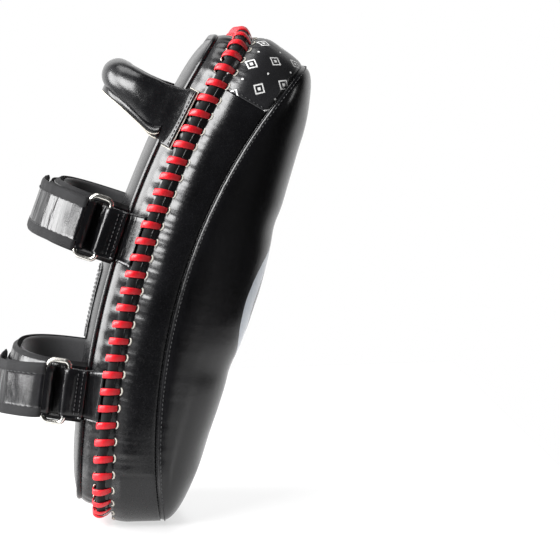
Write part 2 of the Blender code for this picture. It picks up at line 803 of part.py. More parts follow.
cover = bpy.data.objects.new("grip_cover", pipe_mesh(
    "grip_cover", GRIP_LOCAL, GRIP_RADIUS, GRIP_CORE_RADIUS + GAP, 10))
PAD.objects.link(cover)
link(cover, "gloss", grip_axis)
tube("grip_core", "foam", GRIP_LOCAL, GRIP_CORE_RADIUS - 0.8 * MM, False, sides=2,
     parent=grip_axis, caps=True)

# stitched leather edge that hangs below the roll, on its outer side
skirt_z = GRIP_RADIUS + 0.5 * MM
verts = []
flat = GRIP_LOCAL[2:-2]
for k, (w, d, z) in enumerate(flat):
    f = abs(2 * k / (len(flat) - 1) - 1)
    a, b = flat[max(k - 1, 0)], flat[min(k + 1, len(flat) - 1)]
    out = Vector((b[1] - a[1], a[0] - b[0], 0)).normalized() * 5 * MM
    for zz in (skirt_z, skirt_z + 5.5 * MM + 3.5 * MM * f * f):
        verts.append((w + out.x, d + out.y, z + zz))
faces = [(2 * k, 2 * k + 1, 2 * k + 3, 2 * k + 2) for k in range(len(flat) - 1)]
skirt = bpy.data.objects.new("grip_seam_edge", mesh_from("grip_seam_edge", verts, faces))
PAD.objects.link(skirt)
solidify(skirt, 3.0 * MM, 0)
link(skirt, "gloss", grip_axis, smooth=False)

anchor("grip_root_left", GRIP_S, -1, 25 * MM, 17 * MM)
anchor("grip_root_right", GRIP_S, 1, 25 * MM, 17 * MM)
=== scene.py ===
"""Looks of the curved Thai pad: skins, lacing, straps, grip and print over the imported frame."""
import bpy
import bmesh
import math
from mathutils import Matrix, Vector, noise


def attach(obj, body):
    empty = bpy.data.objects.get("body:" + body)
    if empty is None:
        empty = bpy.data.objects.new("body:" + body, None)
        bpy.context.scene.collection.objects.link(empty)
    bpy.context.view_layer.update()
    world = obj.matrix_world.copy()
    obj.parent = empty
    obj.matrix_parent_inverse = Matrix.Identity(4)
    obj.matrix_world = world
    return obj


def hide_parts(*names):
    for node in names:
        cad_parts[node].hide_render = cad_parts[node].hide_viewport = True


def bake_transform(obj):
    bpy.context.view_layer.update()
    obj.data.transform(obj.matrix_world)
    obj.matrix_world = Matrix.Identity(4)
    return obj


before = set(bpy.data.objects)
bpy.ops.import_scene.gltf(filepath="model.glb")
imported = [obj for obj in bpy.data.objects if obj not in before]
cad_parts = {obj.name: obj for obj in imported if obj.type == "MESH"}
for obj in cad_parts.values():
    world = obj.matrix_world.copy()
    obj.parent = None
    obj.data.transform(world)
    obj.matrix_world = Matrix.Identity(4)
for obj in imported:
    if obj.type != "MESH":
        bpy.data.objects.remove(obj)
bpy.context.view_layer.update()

MM = 0.001
HW, LEN, RC = 92 * MM, 402 * MM, 46 * MM
BEND, BASE = 640 * MM, 26 * MM
PIP_I, PIP_D, PIP_R = 20.5 * MM, -17.6 * MM, 2.3 * MM
HINGE_D = -19.7 * MM
ARCH_HALF, ARCH_RISE, ARCH_START, ARCH_POWER = 66 * MM, 44 * MM, -26.5 * MM, 2.7
STRAPS = (("lower", 102 * MM, 10 * MM), ("upper", 221 * MM, 1 * MM))
GRIP_S, GRIP_LEAN = 317 * MM, 0.17
RING_S, RING_FLAT = 199 * MM, 0.86       # middle of the printed target; surface length per s


# ------------------------------------------------------------------ layout
def spine(s):
    a = s / BEND
    return BEND * (1 - math.cos(a)), BEND * math.sin(a), a


def place(w, s, d):
    u, z, a = spine(s)
    return Vector((w, BASE - u - d * math.cos(a), z - d * math.sin(a)))


def local(s, w, d, t):
    """Rigid frame at one station: w across, d through the pad, t up along it."""
    u, z, a = spine(s)
    return Vector((w, BASE - u - d * math.cos(a) - t * math.sin(a),
                   z - d * math.sin(a) + t * math.cos(a)))


def gusset(s):
    half = LEN * 0.48
    k = (half - s) / half
    return 35 * MM + (9.6 if s < half else 11.8) * MM * k * k


FLAT, ARC, SIDE = HW - RC, math.pi / 2 * RC, LEN - 2 * RC
PER = 4 * FLAT + 2 * SIDE + 4 * ARC
PATCH = FLAT + ARC + SIDE - 3.5 * MM


def outline(p):
    p = p % PER
    sign = 1.0
    if p > PER / 2:
        p, sign = PER - p, -1.0
    if p <= FLAT:
        w, s, nw, ns = p, 0.0, 0.0, -1.0
    elif p <= FLAT + ARC:
        a = (p - FLAT) / RC
        w, s, nw, ns = FLAT + RC * math.sin(a), RC - RC * math.cos(a), math.sin(a), -math.cos(a)
    elif p <= FLAT + ARC + SIDE:
        w, s, nw, ns = HW, RC + p - FLAT - ARC, 1.0, 0.0
    elif p <= FLAT + 2 * ARC + SIDE:
        a = (p - FLAT - ARC - SIDE) / RC
        w, s = FLAT + RC * math.cos(a), LEN - RC + RC * math.sin(a)
        nw, ns = math.cos(a), math.sin(a)
    else:
        w, s, nw, ns = FLAT - (p - FLAT - 2 * ARC - SIDE), LEN, 0.0, 1.0
    return sign * w, s, sign * nw, ns


def edge_point(p, inset, d):
    w, s, nw, ns = outline(p)
    return place(w - nw * inset, s - ns * inset, d)


def tuck(p):
    ns = outline(p)[3]
    return 5.6 * MM * max(0.0, -ns) ** 2 + 3.5 * MM * max(0.0, ns) ** 2


def ridge_id(p, e, n):
    """(inset, depth) of a point on the laced ridge: e across it, n out of it."""
    return (tuck(p) + 4.3 * MM + 0.6 * e - 0.8 * n, 0.2 * MM - 0.8 * e - 0.6 * n)


def ridge(p, e, n):
    i, d = ridge_id(p, e, n)
    return edge_point(p, i, d)


def nz(x, y=0.0, z=0.0):
    return noise.noise(Vector((x, y, z)))


# ------------------------------------------------------------------ materials
def nodes_of(mat):
    mat.use_nodes = True
    nt = mat.node_tree
    nt.nodes.clear()
    out = nt.nodes.new("ShaderNodeOutputMaterial")
    b = nt.nodes.new("ShaderNodeBsdfPrincipled")
    nt.links.new(b.outputs[0], out.inputs[0])
    return nt, b


def tex_noise(nt, scale, detail=3.0, rough=0.5, vec=None, dist=0.0):
    n = nt.nodes.new("ShaderNodeTexNoise")
    n.inputs["Scale"].default_value = scale
    n.inputs["Detail"].default_value = detail
    n.inputs["Roughness"].default_value = rough
    n.inputs["Distortion"].default_value = dist
    if vec is not None:
        nt.links.new(vec, n.inputs["Vector"])
    return n


def ramp(nt, fac, stops):
    r = nt.nodes.new("ShaderNodeValToRGB")
    el = r.color_ramp.elements
    while len(el) < len(stops):
        el.new(0.5)
    for e, (pos, col) in zip(el, stops):
        e.position = pos
        e.color = (*col, 1.0) if len(col) == 3 else col
    nt.links.new(fac, r.inputs[0])
    return r


def math_node(nt, op, a, b=None, clamp=False):
    m = nt.nodes.new("ShaderNodeMath")
    m.operation = op
    m.use_clamp = clamp
    for k, v in enumerate((a, b)):
        if v is None:
            continue
        if isinstance(v, (int, float)):
            m.inputs[k].default_value = v
        else:
            nt.links.new(v, m.inputs[k])
    return m.outputs[0]


def coords(nt, kind="Object", scale=None):
    tc = nt.nodes.new("ShaderNodeTexCoord")
    if scale is None:
        return tc.outputs[kind]
    mp = nt.nodes.new("ShaderNodeMapping")
    mp.inputs["Scale"].default_value = scale
    nt.links.new(tc.outputs[kind], mp.inputs["Vector"])
    return mp.outputs[0]


def bump(nt, height, dist, strength=1.0, normal=None):
    b = nt.nodes.new("ShaderNodeBump")
    b.inputs["Distance"].default_value = dist
    b.inputs["Strength"].default_value = strength
    nt.links.new(height, b.inputs["Height"])
    if normal is not None:
        nt.links.new(normal, b.inputs["Normal"])
    return b.outputs[0]


def leather(name, dark=(0.0025, 0.0025, 0.003), light=(0.0065, 0.0065, 0.0075), rough=(0.22, 0.32),
            grain=0.00004, coat=0.0, crease=0.00012, uv_wrinkle=0.0):
    mat = bpy.data.materials.new(name)
    nt, b = nodes_of(mat)
    ob = coords(nt)
    vor = nt.nodes.new("ShaderNodeTexVoronoi")
    vor.feature = 'SMOOTH_F1'
    vor.inputs["Scale"].default_value = 780
    vor.inputs["Smoothness"].default_value = 0.6
    wob = tex_noise(nt, 260, 2)
    mix = nt.nodes.new("ShaderNodeMix")
    mix.data_type = 'VECTOR'
    mix.inputs["Factor"].default_value = 0.0025
    nt.links.new(ob, mix.inputs[4])
    nt.links.new(wob.outputs["Color"], mix.inputs[5])
    nt.links.new(mix.outputs[1], vor.inputs["Vector"])
    low = tex_noise(nt, 26, 4, 0.6, ob, 0.4)
    fine = tex_noise(nt, 420, 3, 0.6, ob)
    col = ramp(nt, low.outputs["Fac"], [(0.3, dark), (0.72, light)])
    nt.links.new(col.outputs[0], b.inputs["Base Color"])
    rg = nt.nodes.new("ShaderNodeMapRange")
    rg.inputs["From Min"].default_value = 0.3
    rg.inputs["From Max"].default_value = 0.7
    rg.inputs["To Min"].default_value = rough[0]
    rg.inputs["To Max"].default_value = rough[1]
    nt.links.new(fine.outputs["Fac"], rg.inputs["Value"])
    nt.links.new(rg.outputs[0], b.inputs["Roughness"])
    b.inputs["Coat Weight"].default_value = coat
    b.inputs["Coat Roughness"].default_value = 0.16
    b.inputs["Specular IOR Level"].default_value = 0.5
    cre = tex_noise(nt, 75, 5, 0.62, ob, 0.9)
    n1 = bump(nt, cre.outputs["Fac"], crease, 0.55)
    if uv_wrinkle > 0:
        uv = coords(nt, "UV", (1.0, 0.16, 1.0))
        w = tex_noise(nt, 105, 3, 0.5, uv, 0.6)
        sharp = ramp(nt, w.outputs["Fac"], [(0.42, (0, 0, 0)), (0.62, (1, 1, 1))])
        n1 = bump(nt, sharp.outputs[0], uv_wrinkle, 0.7, n1)
    n2 = bump(nt, vor.outputs["Distance"], grain, 0.55, n1)
    nt.links.new(n2, b.inputs["Normal"])
    return mat, nt, b


def weave(name, base=(0.0025, 0.0025, 0.003), light=(0.013, 0.013, 0.014), pitch=900.0, across=650.0,
          rough=0.82):
    mat = bpy.data.materials.new(name)
    nt, b = nodes_of(mat)
    uv = coords(nt, "UV")
    sep = nt.nodes.new("ShaderNodeSeparateXYZ")
    nt.links.new(uv, sep.inputs[0])
    sx = math_node(nt, 'SINE', math_node(nt, 'MULTIPLY', sep.outputs[0], pitch * 2 * math.pi))
    sy = math_node(nt, 'SINE', math_node(nt, 'MULTIPLY', sep.outputs[1], across * 2 * math.pi))
    h = math_node(nt, 'MULTIPLY', sx, sy)
    h = math_node(nt, 'MULTIPLY_ADD', h, 0.5)
    h.node.inputs[2].default_value = 0.5
    fuzz = tex_noise(nt, 1500, 2, 0.6, coords(nt))
    hh = math_node(nt, 'ADD', h, math_node(nt, 'MULTIPLY', fuzz.outputs["Fac"], 0.6))
    low = tex_noise(nt, 60, 3, 0.6, coords(nt))
    mixed = math_node(nt, 'MULTIPLY', hh, math_node(nt, 'ADD', low.outputs["Fac"], 0.3))
    col = ramp(nt, mixed, [(0.25, base), (1.0, light)])
    nt.links.new(col.outputs[0], b.inputs["Base Color"])
    rgh = ramp(nt, fuzz.outputs["Fac"], [(0.3, (rough - 0.08,) * 3), (0.7, (min(1.0, rough + 0.1),) * 3)])
    nt.links.new(rgh.outputs[0], b.inputs["Roughness"])
    b.inputs["Sheen Weight"].default_value = 0.03
    b.inputs["Sheen Roughness"].default_value = 0.5
    b.inputs["Specular IOR Level"].default_value = 0.25
    nt.links.new(bump(nt, hh, 0.0004, 0.7), b.inputs["Normal"])
    return mat


def simple(name, dark, light, rough, scale=300, dist=0.0002, metallic=0.0, sheen=0.0, spread=0.1):
    mat = bpy.data.materials.new(name)
    nt, b = nodes_of(mat)
    ob = coords(nt)
    n = tex_noise(nt, scale, 4, 0.6, ob)
    low = tex_noise(nt, scale / 9, 3, 0.5, ob)
    col = ramp(nt, math_node(nt, 'MULTIPLY_ADD', n.outputs["Fac"], 0.5), [(0.25, dark), (0.8, light)])
    col.inputs[0].links[0].from_node.inputs[2].default_value = 0.25
    nt.links.new(col.outputs[0], b.inputs["Base Color"])
    rg = ramp(nt, low.outputs["Fac"], [(0.3, (max(0.05, rough - spread),) * 3), (0.7, (rough + spread,) * 3)])
    nt.links.new(rg.outputs[0], b.inputs["Roughness"])
    b.inputs["Metallic"].default_value = metallic
    if sheen:
        b.inputs["Sheen Weight"].default_value = sheen
        b.inputs["Sheen Roughness"].default_value = 0.4
    nt.links.new(bump(nt, n.outputs["Fac"], dist, 0.6), b.inputs["Normal"])
    return mat


M_GUSSET = leather("gusset_leather", rough=(0.2, 0.3), crease=0.00016)[0]
M_RIM = leather("rim_leather", rough=(0.2, 0.3))[0]
M_BACK = leather("back_leather", rough=(0.22, 0.32))[0]
M_STRAP = leather("strap_leather", rough=(0.14, 0.24), coat=0.0, crease=0.00022, grain=0.00003, uv_wrinkle=0.0005)[0]
M_GRIP = leather("grip_leather", rough=(0.2, 0.3), coat=0.0, crease=0.00018, grain=0.00004)[0]
M_WEAVE = weave("woven_binding")
M_TAPE = simple("hook_and_loop", (0.006, 0.006, 0.006), (0.035, 0.035, 0.037), 0.92, 2200, 0.0006, sheen=0.4, spread=0.05)
M_SUEDE = simple("suede_lining", (0.012, 0.012, 0.013), (0.04, 0.04, 0.042), 0.9, 900, 0.0003, sheen=0.6, spread=0.06)
M_LACE = simple("red_lacing", (0.55, 0.004, 0.010), (0.82, 0.016, 0.03), 0.42, 700, 0.0002)
# pale tone: raw cut leather edge on the grip; on the lace holes' rims it is also a painted highlight
M_RAW_EDGE_AND_HIGHLIGHT = simple("raw_edge_and_painted_highlight", (0.34, 0.32, 0.27), (0.62, 0.6, 0.54), 0.75, 900, 0.0002)
M_THREAD = simple("black_thread", (0.012, 0.012, 0.013), (0.05, 0.05, 0.052), 0.6, 1800, 0.0002)
M_NICKEL = simple("nickel_wire", (0.62, 0.6, 0.56), (0.8, 0.78, 0.73), 0.22, 500, 0.00003, metallic=1.0, spread=0.06)
M_FOAM = simple("cut_foam", (0.12, 0.13, 0.16), (0.2, 0.21, 0.25), 0.95, 600, 0.0004, spread=0.04)


def target_material():
    """Strike face leather with a printed white ring and disc."""
    mat, nt, b = leather("strike_leather", rough=(0.18, 0.27), crease=0.00012)
    old = b.inputs["Base Color"].links[0].from_socket
    sep = nt.nodes.new("ShaderNodeSeparateXYZ")
    nt.links.new(coords(nt, "UV"), sep.inputs[0])
    r2 = math_node(nt, 'ADD', math_node(nt, 'POWER', sep.outputs[0], 2.0),
                   math_node(nt, 'POWER', math_node(nt, 'ABSOLUTE', sep.outputs[1]), 2.0))
    r2.node.inputs[0].links[0].from_node.inputs[0].links[0]
    ax = nt.nodes.new("ShaderNodeMath")
    ax.operation = 'ABSOLUTE'
    nt.links.new(sep.outputs[0], ax.inputs[0])
    pw = r2.node.inputs[0].links[0].from_node
    nt.links.new(ax.outputs[0], pw.inputs[0])
    r = math_node(nt, 'SQRT', r2)
    wob = tex_noise(nt, 900, 2, 0.5, coords(nt))
    r = math_node(nt, 'ADD', r, math_node(nt, 'MULTIPLY', math_node(nt, 'SUBTRACT', wob.outputs["Fac"], 0.5), 0.0004))

    def step(edge, rising):
        mr = nt.nodes.new("ShaderNodeMapRange")
        mr.inputs["From Min"].default_value = edge - 0.00025
        mr.inputs["From Max"].default_value = edge + 0.00025
        mr.inputs["To Min"].default_value = 0.0 if rising else 1.0
        mr.inputs["To Max"].default_value = 1.0 if rising else 0.0
        nt.links.new(r, mr.inputs["Value"])
        return mr.outputs[0]

    band = math_node(nt, 'MULTIPLY', step(0.0440, True), step(0.0590, False))
    mask = math_node(nt, 'ADD', band, step(0.0255, False), clamp=True)
    worn = tex_noise(nt, 34, 5, 0.7, coords(nt), 0.5)
    white = ramp(nt, worn.outputs["Fac"], [(0.3, (0.68, 0.73, 0.8)), (0.65, (0.8, 0.85, 0.91))])
    mix = nt.nodes.new("ShaderNodeMix")
    mix.data_type = 'RGBA'
    nt.links.new(mask, mix.inputs[0])
    nt.links.new(old, mix.inputs[6])
    nt.links.new(white.outputs[0], mix.inputs[7])
    nt.links.new(mix.outputs[2], b.inputs["Base Color"])
    return mat


def print_material():
    """Black leather with a plain repeat of small pale diamonds and dots."""
    mat, nt, b = leather("printed_patch", dark=(0.010, 0.010, 0.011), light=(0.024, 0.024, 0.026),
                         rough=(0.24, 0.34), crease=0.0001)
    old = b.inputs["Base Color"].links[0].from_socket
    sep = nt.nodes.new("ShaderNodeSeparateXYZ")
    nt.links.new(coords(nt, "UV"), sep.inputs[0])

    def cell(off, px, py):
        x = math_node(nt, 'ADD', sep.outputs[0], off[0])
        y = math_node(nt, 'ADD', sep.outputs[1], off[1])
        fx = math_node(nt, 'SUBTRACT', math_node(nt, 'WRAP', x, px), 0.0)
        fx.node.inputs[0].links[0].from_node.inputs[2].default_value = 0.0
        fy = math_node(nt, 'SUBTRACT', math_node(nt, 'WRAP', y, py), 0.0)
        fy.node.inputs[0].links[0].from_node.inputs[2].default_value = 0.0
        ax = math_node(nt, 'ABSOLUTE', math_node(nt, 'SUBTRACT', fx, px / 2))
        ay = math_node(nt, 'ABSOLUTE', math_node(nt, 'SUBTRACT', fy, py / 2))
        return ax, ay

    def below(v, edge, soft=0.0002):
        mr = nt.nodes.new("ShaderNodeMapRange")
        mr.inputs["From Min"].default_value = edge - soft
        mr.inputs["From Max"].default_value = edge + soft
        mr.inputs["To Min"].default_value = 1.0
        mr.inputs["To Max"].default_value = 0.0
        nt.links.new(v, mr.inputs["Value"])
        return mr.outputs[0]

    total = None
    px, py = 0.0285, 0.0285
    for off in ((0.0, 0.0), (px / 2, py / 2)):
        ax, ay = cell(off, px, py)
        dia = math_node(nt, 'ADD', ax, ay)
        ring = math_node(nt, 'MULTIPLY', below(dia, 0.0052),
                         math_node(nt, 'SUBTRACT', 1.0, below(dia, 0.0038)))
        core = below(dia, 0.0016)
        both = math_node(nt, 'ADD', ring, core, clamp=True)
        total = both if total is None else math_node(nt, 'ADD', total, both, clamp=True)
    for off in ((px / 2, 0.0), (0.0, py / 2)):
        ax, ay = cell(off, px, py)
        rr = math_node(nt, 'SQRT', math_node(nt, 'ADD', math_node(nt, 'MULTIPLY', ax, ax),
                                             math_node(nt, 'MULTIPLY', ay, ay)))
        total = math_node(nt, 'ADD', total, below(rr, 0.0008), clamp=True)
    mix = nt.nodes.new("ShaderNodeMix")
    mix.data_type = 'RGBA'
    nt.links.new(total, mix.inputs[0])
    nt.links.new(old, mix.inputs[6])
    mix.inputs[7].default_value = (0.8, 0.8, 0.79, 1.0)
    nt.links.new(mix.outputs[2], b.inputs["Base Color"])
    return mat


M_FACE = target_material()
M_PRINT = print_material()


# ------------------------------------------------------------------ mesh makers
def build(name, verts, faces, uvs, mats, face_mat=None, smooth=True):
    me = bpy.data.meshes.new(name)
    me.from_pydata([tuple(v) for v in verts], [], faces)
    lay = me.uv_layers.new(name="UVMap")
    for poly in me.polygons:
        for li, vi in zip(poly.loop_indices, poly.vertices):
            lay.data[li].uv = uvs[vi]
        poly.use_smooth = smooth
        if face_mat:
            poly.material_index = face_mat[poly.index]
    for m in (mats if isinstance(mats, (list, tuple)) else [mats]):
        me.materials.append(m)
    me.update()
    obj = bpy.data.objects.new(name, me)
    bpy.context.scene.collection.objects.link(obj)
    return obj


def grid(name, rows, uvrows, mats, closed=False, col_mat=None, flip=False):
    """Open or ring-shaped skin from rows of points; a closed ring repeats its first row."""
    rows, uvrows = list(rows), list(uvrows)
    n = len(rows[0])
    verts = [v for r in rows for v in r]
    uvs = [u for r in uvrows for u in r]
    faces, fm = [], []
    for r in range(len(rows) - 1):
        for c in range(n - 1):
            f = (r * n + c, r * n + c + 1, (r + 1) * n + c + 1, (r + 1) * n + c)
            faces.append(tuple(reversed(f)) if flip else f)
            fm.append(col_mat[c] if col_mat else 0)
    obj = build(name, verts, faces, uvs, mats, fm)
    if closed:
        bm = bmesh.new()
        bm.from_mesh(obj.data)
        bmesh.ops.remove_doubles(bm, verts=bm.verts, dist=0.00001)
        bm.to_mesh(obj.data)
        bm.free()
    return obj


def tubeish(name, loops, uvs, mats, caps=True, closed=False, loop_mat=None):
    """Closed cross-sections joined along a path."""
    n = len(loops[0])
    verts = [v for r in loops for v in r]
    uv = [u for r in uvs for u in r]
    faces, fm = [], []
    m = len(loops)
    for r in range(m if closed else m - 1):
        q = (r + 1) % m
        for c in range(n):
            k = (c + 1) % n
            faces.append((r * n + c, r * n + k, q * n + k, q * n + c))
            fm.append(loop_mat[c] if loop_mat else 0)
    if caps and not closed:
        faces.append(tuple(reversed(range(n))))
        faces.append(tuple((m - 1) * n + c for c in range(n)))
        fm += [0, 0]
    obj = build(name, verts, faces, uv, mats, fm)
    bm = bmesh.new()
    bm.from_mesh(obj.data)
    bmesh.ops.recalc_face_normals(bm, faces=bm.faces)
    bm.to_mesh(obj.data)
    bm.free()
    return obj


def join_meshes(name, parts, mats):
    """One object from (verts, faces, uvs, material index) groups."""
    verts, faces, uvs, fm = [], [], [], []
    for v, f, u, m in parts:
        base = len(verts)
        verts += v
        uvs += u
        for poly in f:
            faces.append(tuple(base + i for i in poly))
            fm.append(m)
    return build(name, verts, faces, uvs, mats, fm)


def thick(obj, t, offset=-1):
    mod = obj.modifiers.new("thickness", 'SOLIDIFY')
    mod.thickness = t
    mod.offset = offset
    mod.use_even_offset = True
    return obj


def subdiv(obj, levels=1):
    mod = obj.modifiers.new("subd", 'SUBSURF')
    mod.levels = levels
    mod.render_levels = levels
    return obj


def away(obj):
    """Normals point away from the pad's middle line."""
    total = 0.0
    for poly in obj.data.polygons:
        c = poly.center
        s = min(max(math.asin(max(-1, min(1, c.z / BEND))) * BEND, 60 * MM), LEN - 60 * MM)
        total += poly.area * poly.normal.dot((c - place(0, s, 20 * MM)).normalized())
    if total < 0:
        obj.data.flip_normals()
    return obj


# ------------------------------------------------------------------ strike face
def rise(s):
    k = min(max(s / LEN, 0.0), 1.0)
    return (25 + k + 36 * math.sin(math.pi * k) ** 1.3) * MM


def crown(w):
    return 0.785 + 0.24 * (1 - (max(abs(w), 30 * MM) / HW) ** 2)


def shoulder(i, width=56 * MM):
    k = min(max(i / width, 0.0), 1.0)
    return math.sqrt(max(0.0, 1 - (1 - k) ** 2))


NB, NC, NS = 30, 20, 110


def ring_ws(inset):
    hw, r = HW - inset, max(RC - inset, 6 * MM)
    s0, s1 = inset, LEN - inset
    pts = []

    def corner(cw, cs, a0):
        return [(cw + r * math.cos(a0 + math.pi / 2 * k / NC),
                 cs + r * math.sin(a0 + math.pi / 2 * k / NC)) for k in range(NC)]

    pts += [(-(hw - r) + (hw - r) * 2 * k / NB, s0) for k in range(NB)]
    pts += corner(hw - r, s0 + r, -math.pi / 2)
    pts += [(hw, s0 + r + (s1 - s0 - 2 * r) * k / NS) for k in range(NS)]
    pts += corner(hw - r, s1 - r, 0)
    pts += [((hw - r) - (hw - r) * 2 * k / NB, s1) for k in range(NB)]
    pts += corner(-(hw - r), s1 - r, math.pi / 2)
    pts += [(-hw, s1 - r - (s1 - s0 - 2 * r) * k / NS) for k in range(NS)]
    pts += corner(-(hw - r), s0 + r, math.pi)
    return pts


def rings_skin(name, insets, depth, mats, uv):
    rings = [ring_ws(i) for i in insets]
    n = len(rings[0])
    verts, uvs, faces = [], [], []
    for i, ring in zip(insets, rings):
        for k, (w, s) in enumerate(ring):
            verts.append(depth(w, s, i, k))
            uvs.append(uv(w, s))
    for k in range(len(rings) - 1):
        for j in range(n):
            i = (j + 1) % n
            faces.append((k * n + j, k * n + i, (k + 1) * n + i, (k + 1) * n + j))
    base = (len(rings) - 1) * n
    a, b = NB + NC // 2, n - 1 - NC // 2 + 1
    faces.append(tuple(base + j % n for j in range(b, b + (a - b) % n + 1)))
    while (b - a) % n > NB + NC:
        na, nb = a + 1, b - 1
        faces.append((base + a, base + na, base + nb, base + b))
        a, b = na, nb
    faces.append(tuple(base + j for j in range(a, b + 1)))
    obj = build(name, verts, faces, uvs, mats)
    bm = bmesh.new()
    bm.from_mesh(obj.data)
    bmesh.ops.triangulate(bm, faces=[f for f in bm.faces if len(f.verts) > 4])
    bm.to_mesh(obj.data)
    bm.free()
    return away(obj)


def face_point(w, s, i, k):
    """A point of the strike face, with the seam's valley and soft dents."""
    h = rise(s) * crown(w) * shoulder(i)
    arcpos = k * 4.6
    puck = nz(arcpos * 0.33, 3.1) * 0.9 + nz(arcpos * 0.8, 9.0) * 0.5
    broad = min(1.0, i / (20 * MM))
    dent = nz(w * 22, s * 17, 5.0) * 0.8 * MM * broad
    soft = nz(w * 55, s * 48, 1.0) * 0.25 * MM * broad
    zones = sum(-1.7 * MM * math.exp(-((s - c) / (15 * MM)) ** 2) for c in (134 * MM, 268 * MM)) * broad
    d = gusset(s) + 0.4 * MM + h + dent + soft + zones
    wi = 1.4 * MM * math.exp(-h / (2.4 * MM)) - 0.5 * MM * math.exp(-((h - 7 * MM) / (5 * MM)) ** 2)
    wi += puck * 0.45 * MM * math.exp(-h / (12 * MM)) * (1 - math.exp(-h / (2 * MM)))
    hw, r = HW - i, max(RC - i, 6 * MM)
    nw = 0.0 if abs(w) < hw - r else (abs(w) - (hw - r)) / max(r, 1e-6) * math.copysign(1, w)
    ns = 0.0
    if s < i + r:
        ns = -(i + r - s) / max(r, 1e-6)
        wi = max(wi, 0.0)
    if s > LEN - i - r:
        ns = (s - (LEN - i - r)) / max(r, 1e-6)
    return place(w - nw * wi, s - ns * wi, d)


face = rings_skin("strike_face_skin",
                  [56 * MM * (1 - math.sqrt(1 - h * h)) for h in
                   (0, 0.02, 0.045, 0.075, 0.11, 0.15, 0.2, 0.26, 0.33, 0.41, 0.5, 0.59, 0.68, 0.76,
                    0.83, 0.88, 0.92, 0.955, 0.98)]
                  + [x * MM for x in (50, 55, 60, 65, 70, 76, 81, 85)],
                  face_point, M_FACE, lambda w, s: (w, (s - RING_S) * RING_FLAT))
thick(face, 2.0 * MM)
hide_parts("face_panel")
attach(face, "pad")


# ------------------------------------------------------------------ gusset, rim
def path(p0, p1, step=3.2 * MM):
    n = max(2, int(round((p1 - p0) / step)))
    return [p0 + (p1 - p0) * k / n for k in range(n + 1)]


STITCHES = int(round(PER / (12.9 * MM)))
PITCH = PER / STITCHES


def lace_pull(p):
    """1 at a lace hole, 0 half way between two."""
    return 0.5 + 0.5 * math.cos(2 * math.pi * p / PITCH)


def roll_in(p, d):
    """Inset of the side wall: it bellies out, then turns in towards the lacing."""
    s = outline(p)[1]
    g = gusset(s)
    low = max(0.0, -outline(p)[3])
    f = min(max((d - 7 * MM) / (g - 7 * MM), 0.0), 1.0)
    belly = 1.5 * MM * math.sin(math.pi * f ** 0.8) ** 0.8
    k = min(max((21 * MM - d) / (14.5 * MM), 0.0), 1.25)
    turn = 4.2 * MM * k * k
    valley = 1.5 * MM * math.exp(-(g - d) / (2.0 * MM))
    i = valley - belly + turn
    return i + tuck(p) * 0.5 * k * k if low == 0 else max(i * (1 - low) + tuck(p) * 0.55 * k * k, 0.0)


def hole_pucker(p, d):
    """Fine creases that run from the lace holes into the leather."""
    near = math.exp(-max(d - 8 * MM, 0.0) / (8.5 * MM))
    fan = nz(p * 620, d * 34, 2.0) * 0.55 + nz(p * 300, d * 22, 8.0) * 0.75
    hole = (lace_pull(p) ** 2 - 0.35) * math.exp(-max(d - 7 * MM, 0.0) / (5 * MM))
    return (fan * near * 0.5 + hole * 0.32) * MM


def under(e):
    """Height of the leather under the lacing, across the ridge."""
    return -2.0 * MM + 0.2 * e


def gusset_rows(p0, p1):
    rows, uvs = [], []
    for p in path(p0, p1, 1.15 * MM):
        w, s, nw, ns = outline(p)
        g = gusset(s)
        calm = 1 - 0.75 * max(0.0, -ns)
        row, uv = [], []
        for k in range(25):
            f = (k / 24) ** 0.85
            d = g - 0.3 * MM - (g - 0.3 * MM - 7.6 * MM) * f
            i = roll_in(p, d) + hole_pucker(p, d) * calm
            i += (nz(p * 24, d * 30, 7.0) * 0.9 + nz(p * 62, d * 52, 12.0) * 0.32) * MM * math.sin(math.pi * min(1, f)) * calm
            if ns < -0.5:
                i = max(i, 0.0)
            row.append(edge_point(p, i, d))
            uv.append((p, d))
        for e, n in ((-5.7, -2.5), (-5.0, -1.4), (-4.4, 0.2), (-3.8, 1.6)):
            i, d = ridge_id(p, e * MM, n * MM - lace_pull(p) * 0.4 * MM)
            row.append(edge_point(p, i, d))
            uv.append((p, d))
        rows.append(row)
        uvs.append(uv)
    return rows, uvs


for name, node, p0, p1, mat in (
        ("gusset_skin_right", "gusset_right", 0.1 * MM, PATCH - 0.1 * MM, M_GUSSET),
        ("gusset_skin_left", "gusset_left", PER - PATCH + 0.1 * MM, PER - 0.1 * MM, M_GUSSET),
        ("gusset_patch_skin", "gusset_top_patch", PATCH + 0.1 * MM, PER - PATCH - 0.1 * MM, M_PRINT)):
    rows, uvs = gusset_rows(p0, p1)
    ob = away(grid(name, rows, uvs, mat))
    thick(ob, 1.6 * MM)
    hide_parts(node)
    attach(ob, "pad")

rows, uvs = [], []
for p in path(0, PER, 1.3 * MM):
    row, uv = [], []
    for e, n in ((3.8, 1.6), (4.5, 0.3), (5.3, -0.6), (6.3, -0.9)):
        i, d = ridge_id(p, e * MM, (n - lace_pull(p) * 0.4) * MM)
        row.append((i, d))
    i0, d0 = row[-1]
    i1, d1 = PIP_I - 1.6 * MM, PIP_D + 1.2 * MM
    for k in range(1, 14):
        f = k / 13
        near = math.exp(-f * 4.5)
        puff = math.sin(math.pi * f) ** 0.9 * 1.5 * MM
        pk = (nz(p * 430, f * 1.3 + 20) * 0.4 + nz(p * 170, f * 2 + 40) * 0.5
              - (lace_pull(p) - 0.4) * 0.8) * MM * near
        i, d = i0 + (i1 - i0) * f, d0 + (d1 - d0) * f
        row.append((i - (puff + pk) * 0.7, d - (puff + pk) * 0.7))
    rows.append([edge_point(p, i, d) for i, d in row])
    uvs.append([(p, d) for i, d in row])
rim = away(grid("back_rim_skin", rows, uvs, M_RIM, closed=True))
thick(rim, 1.5 * MM)
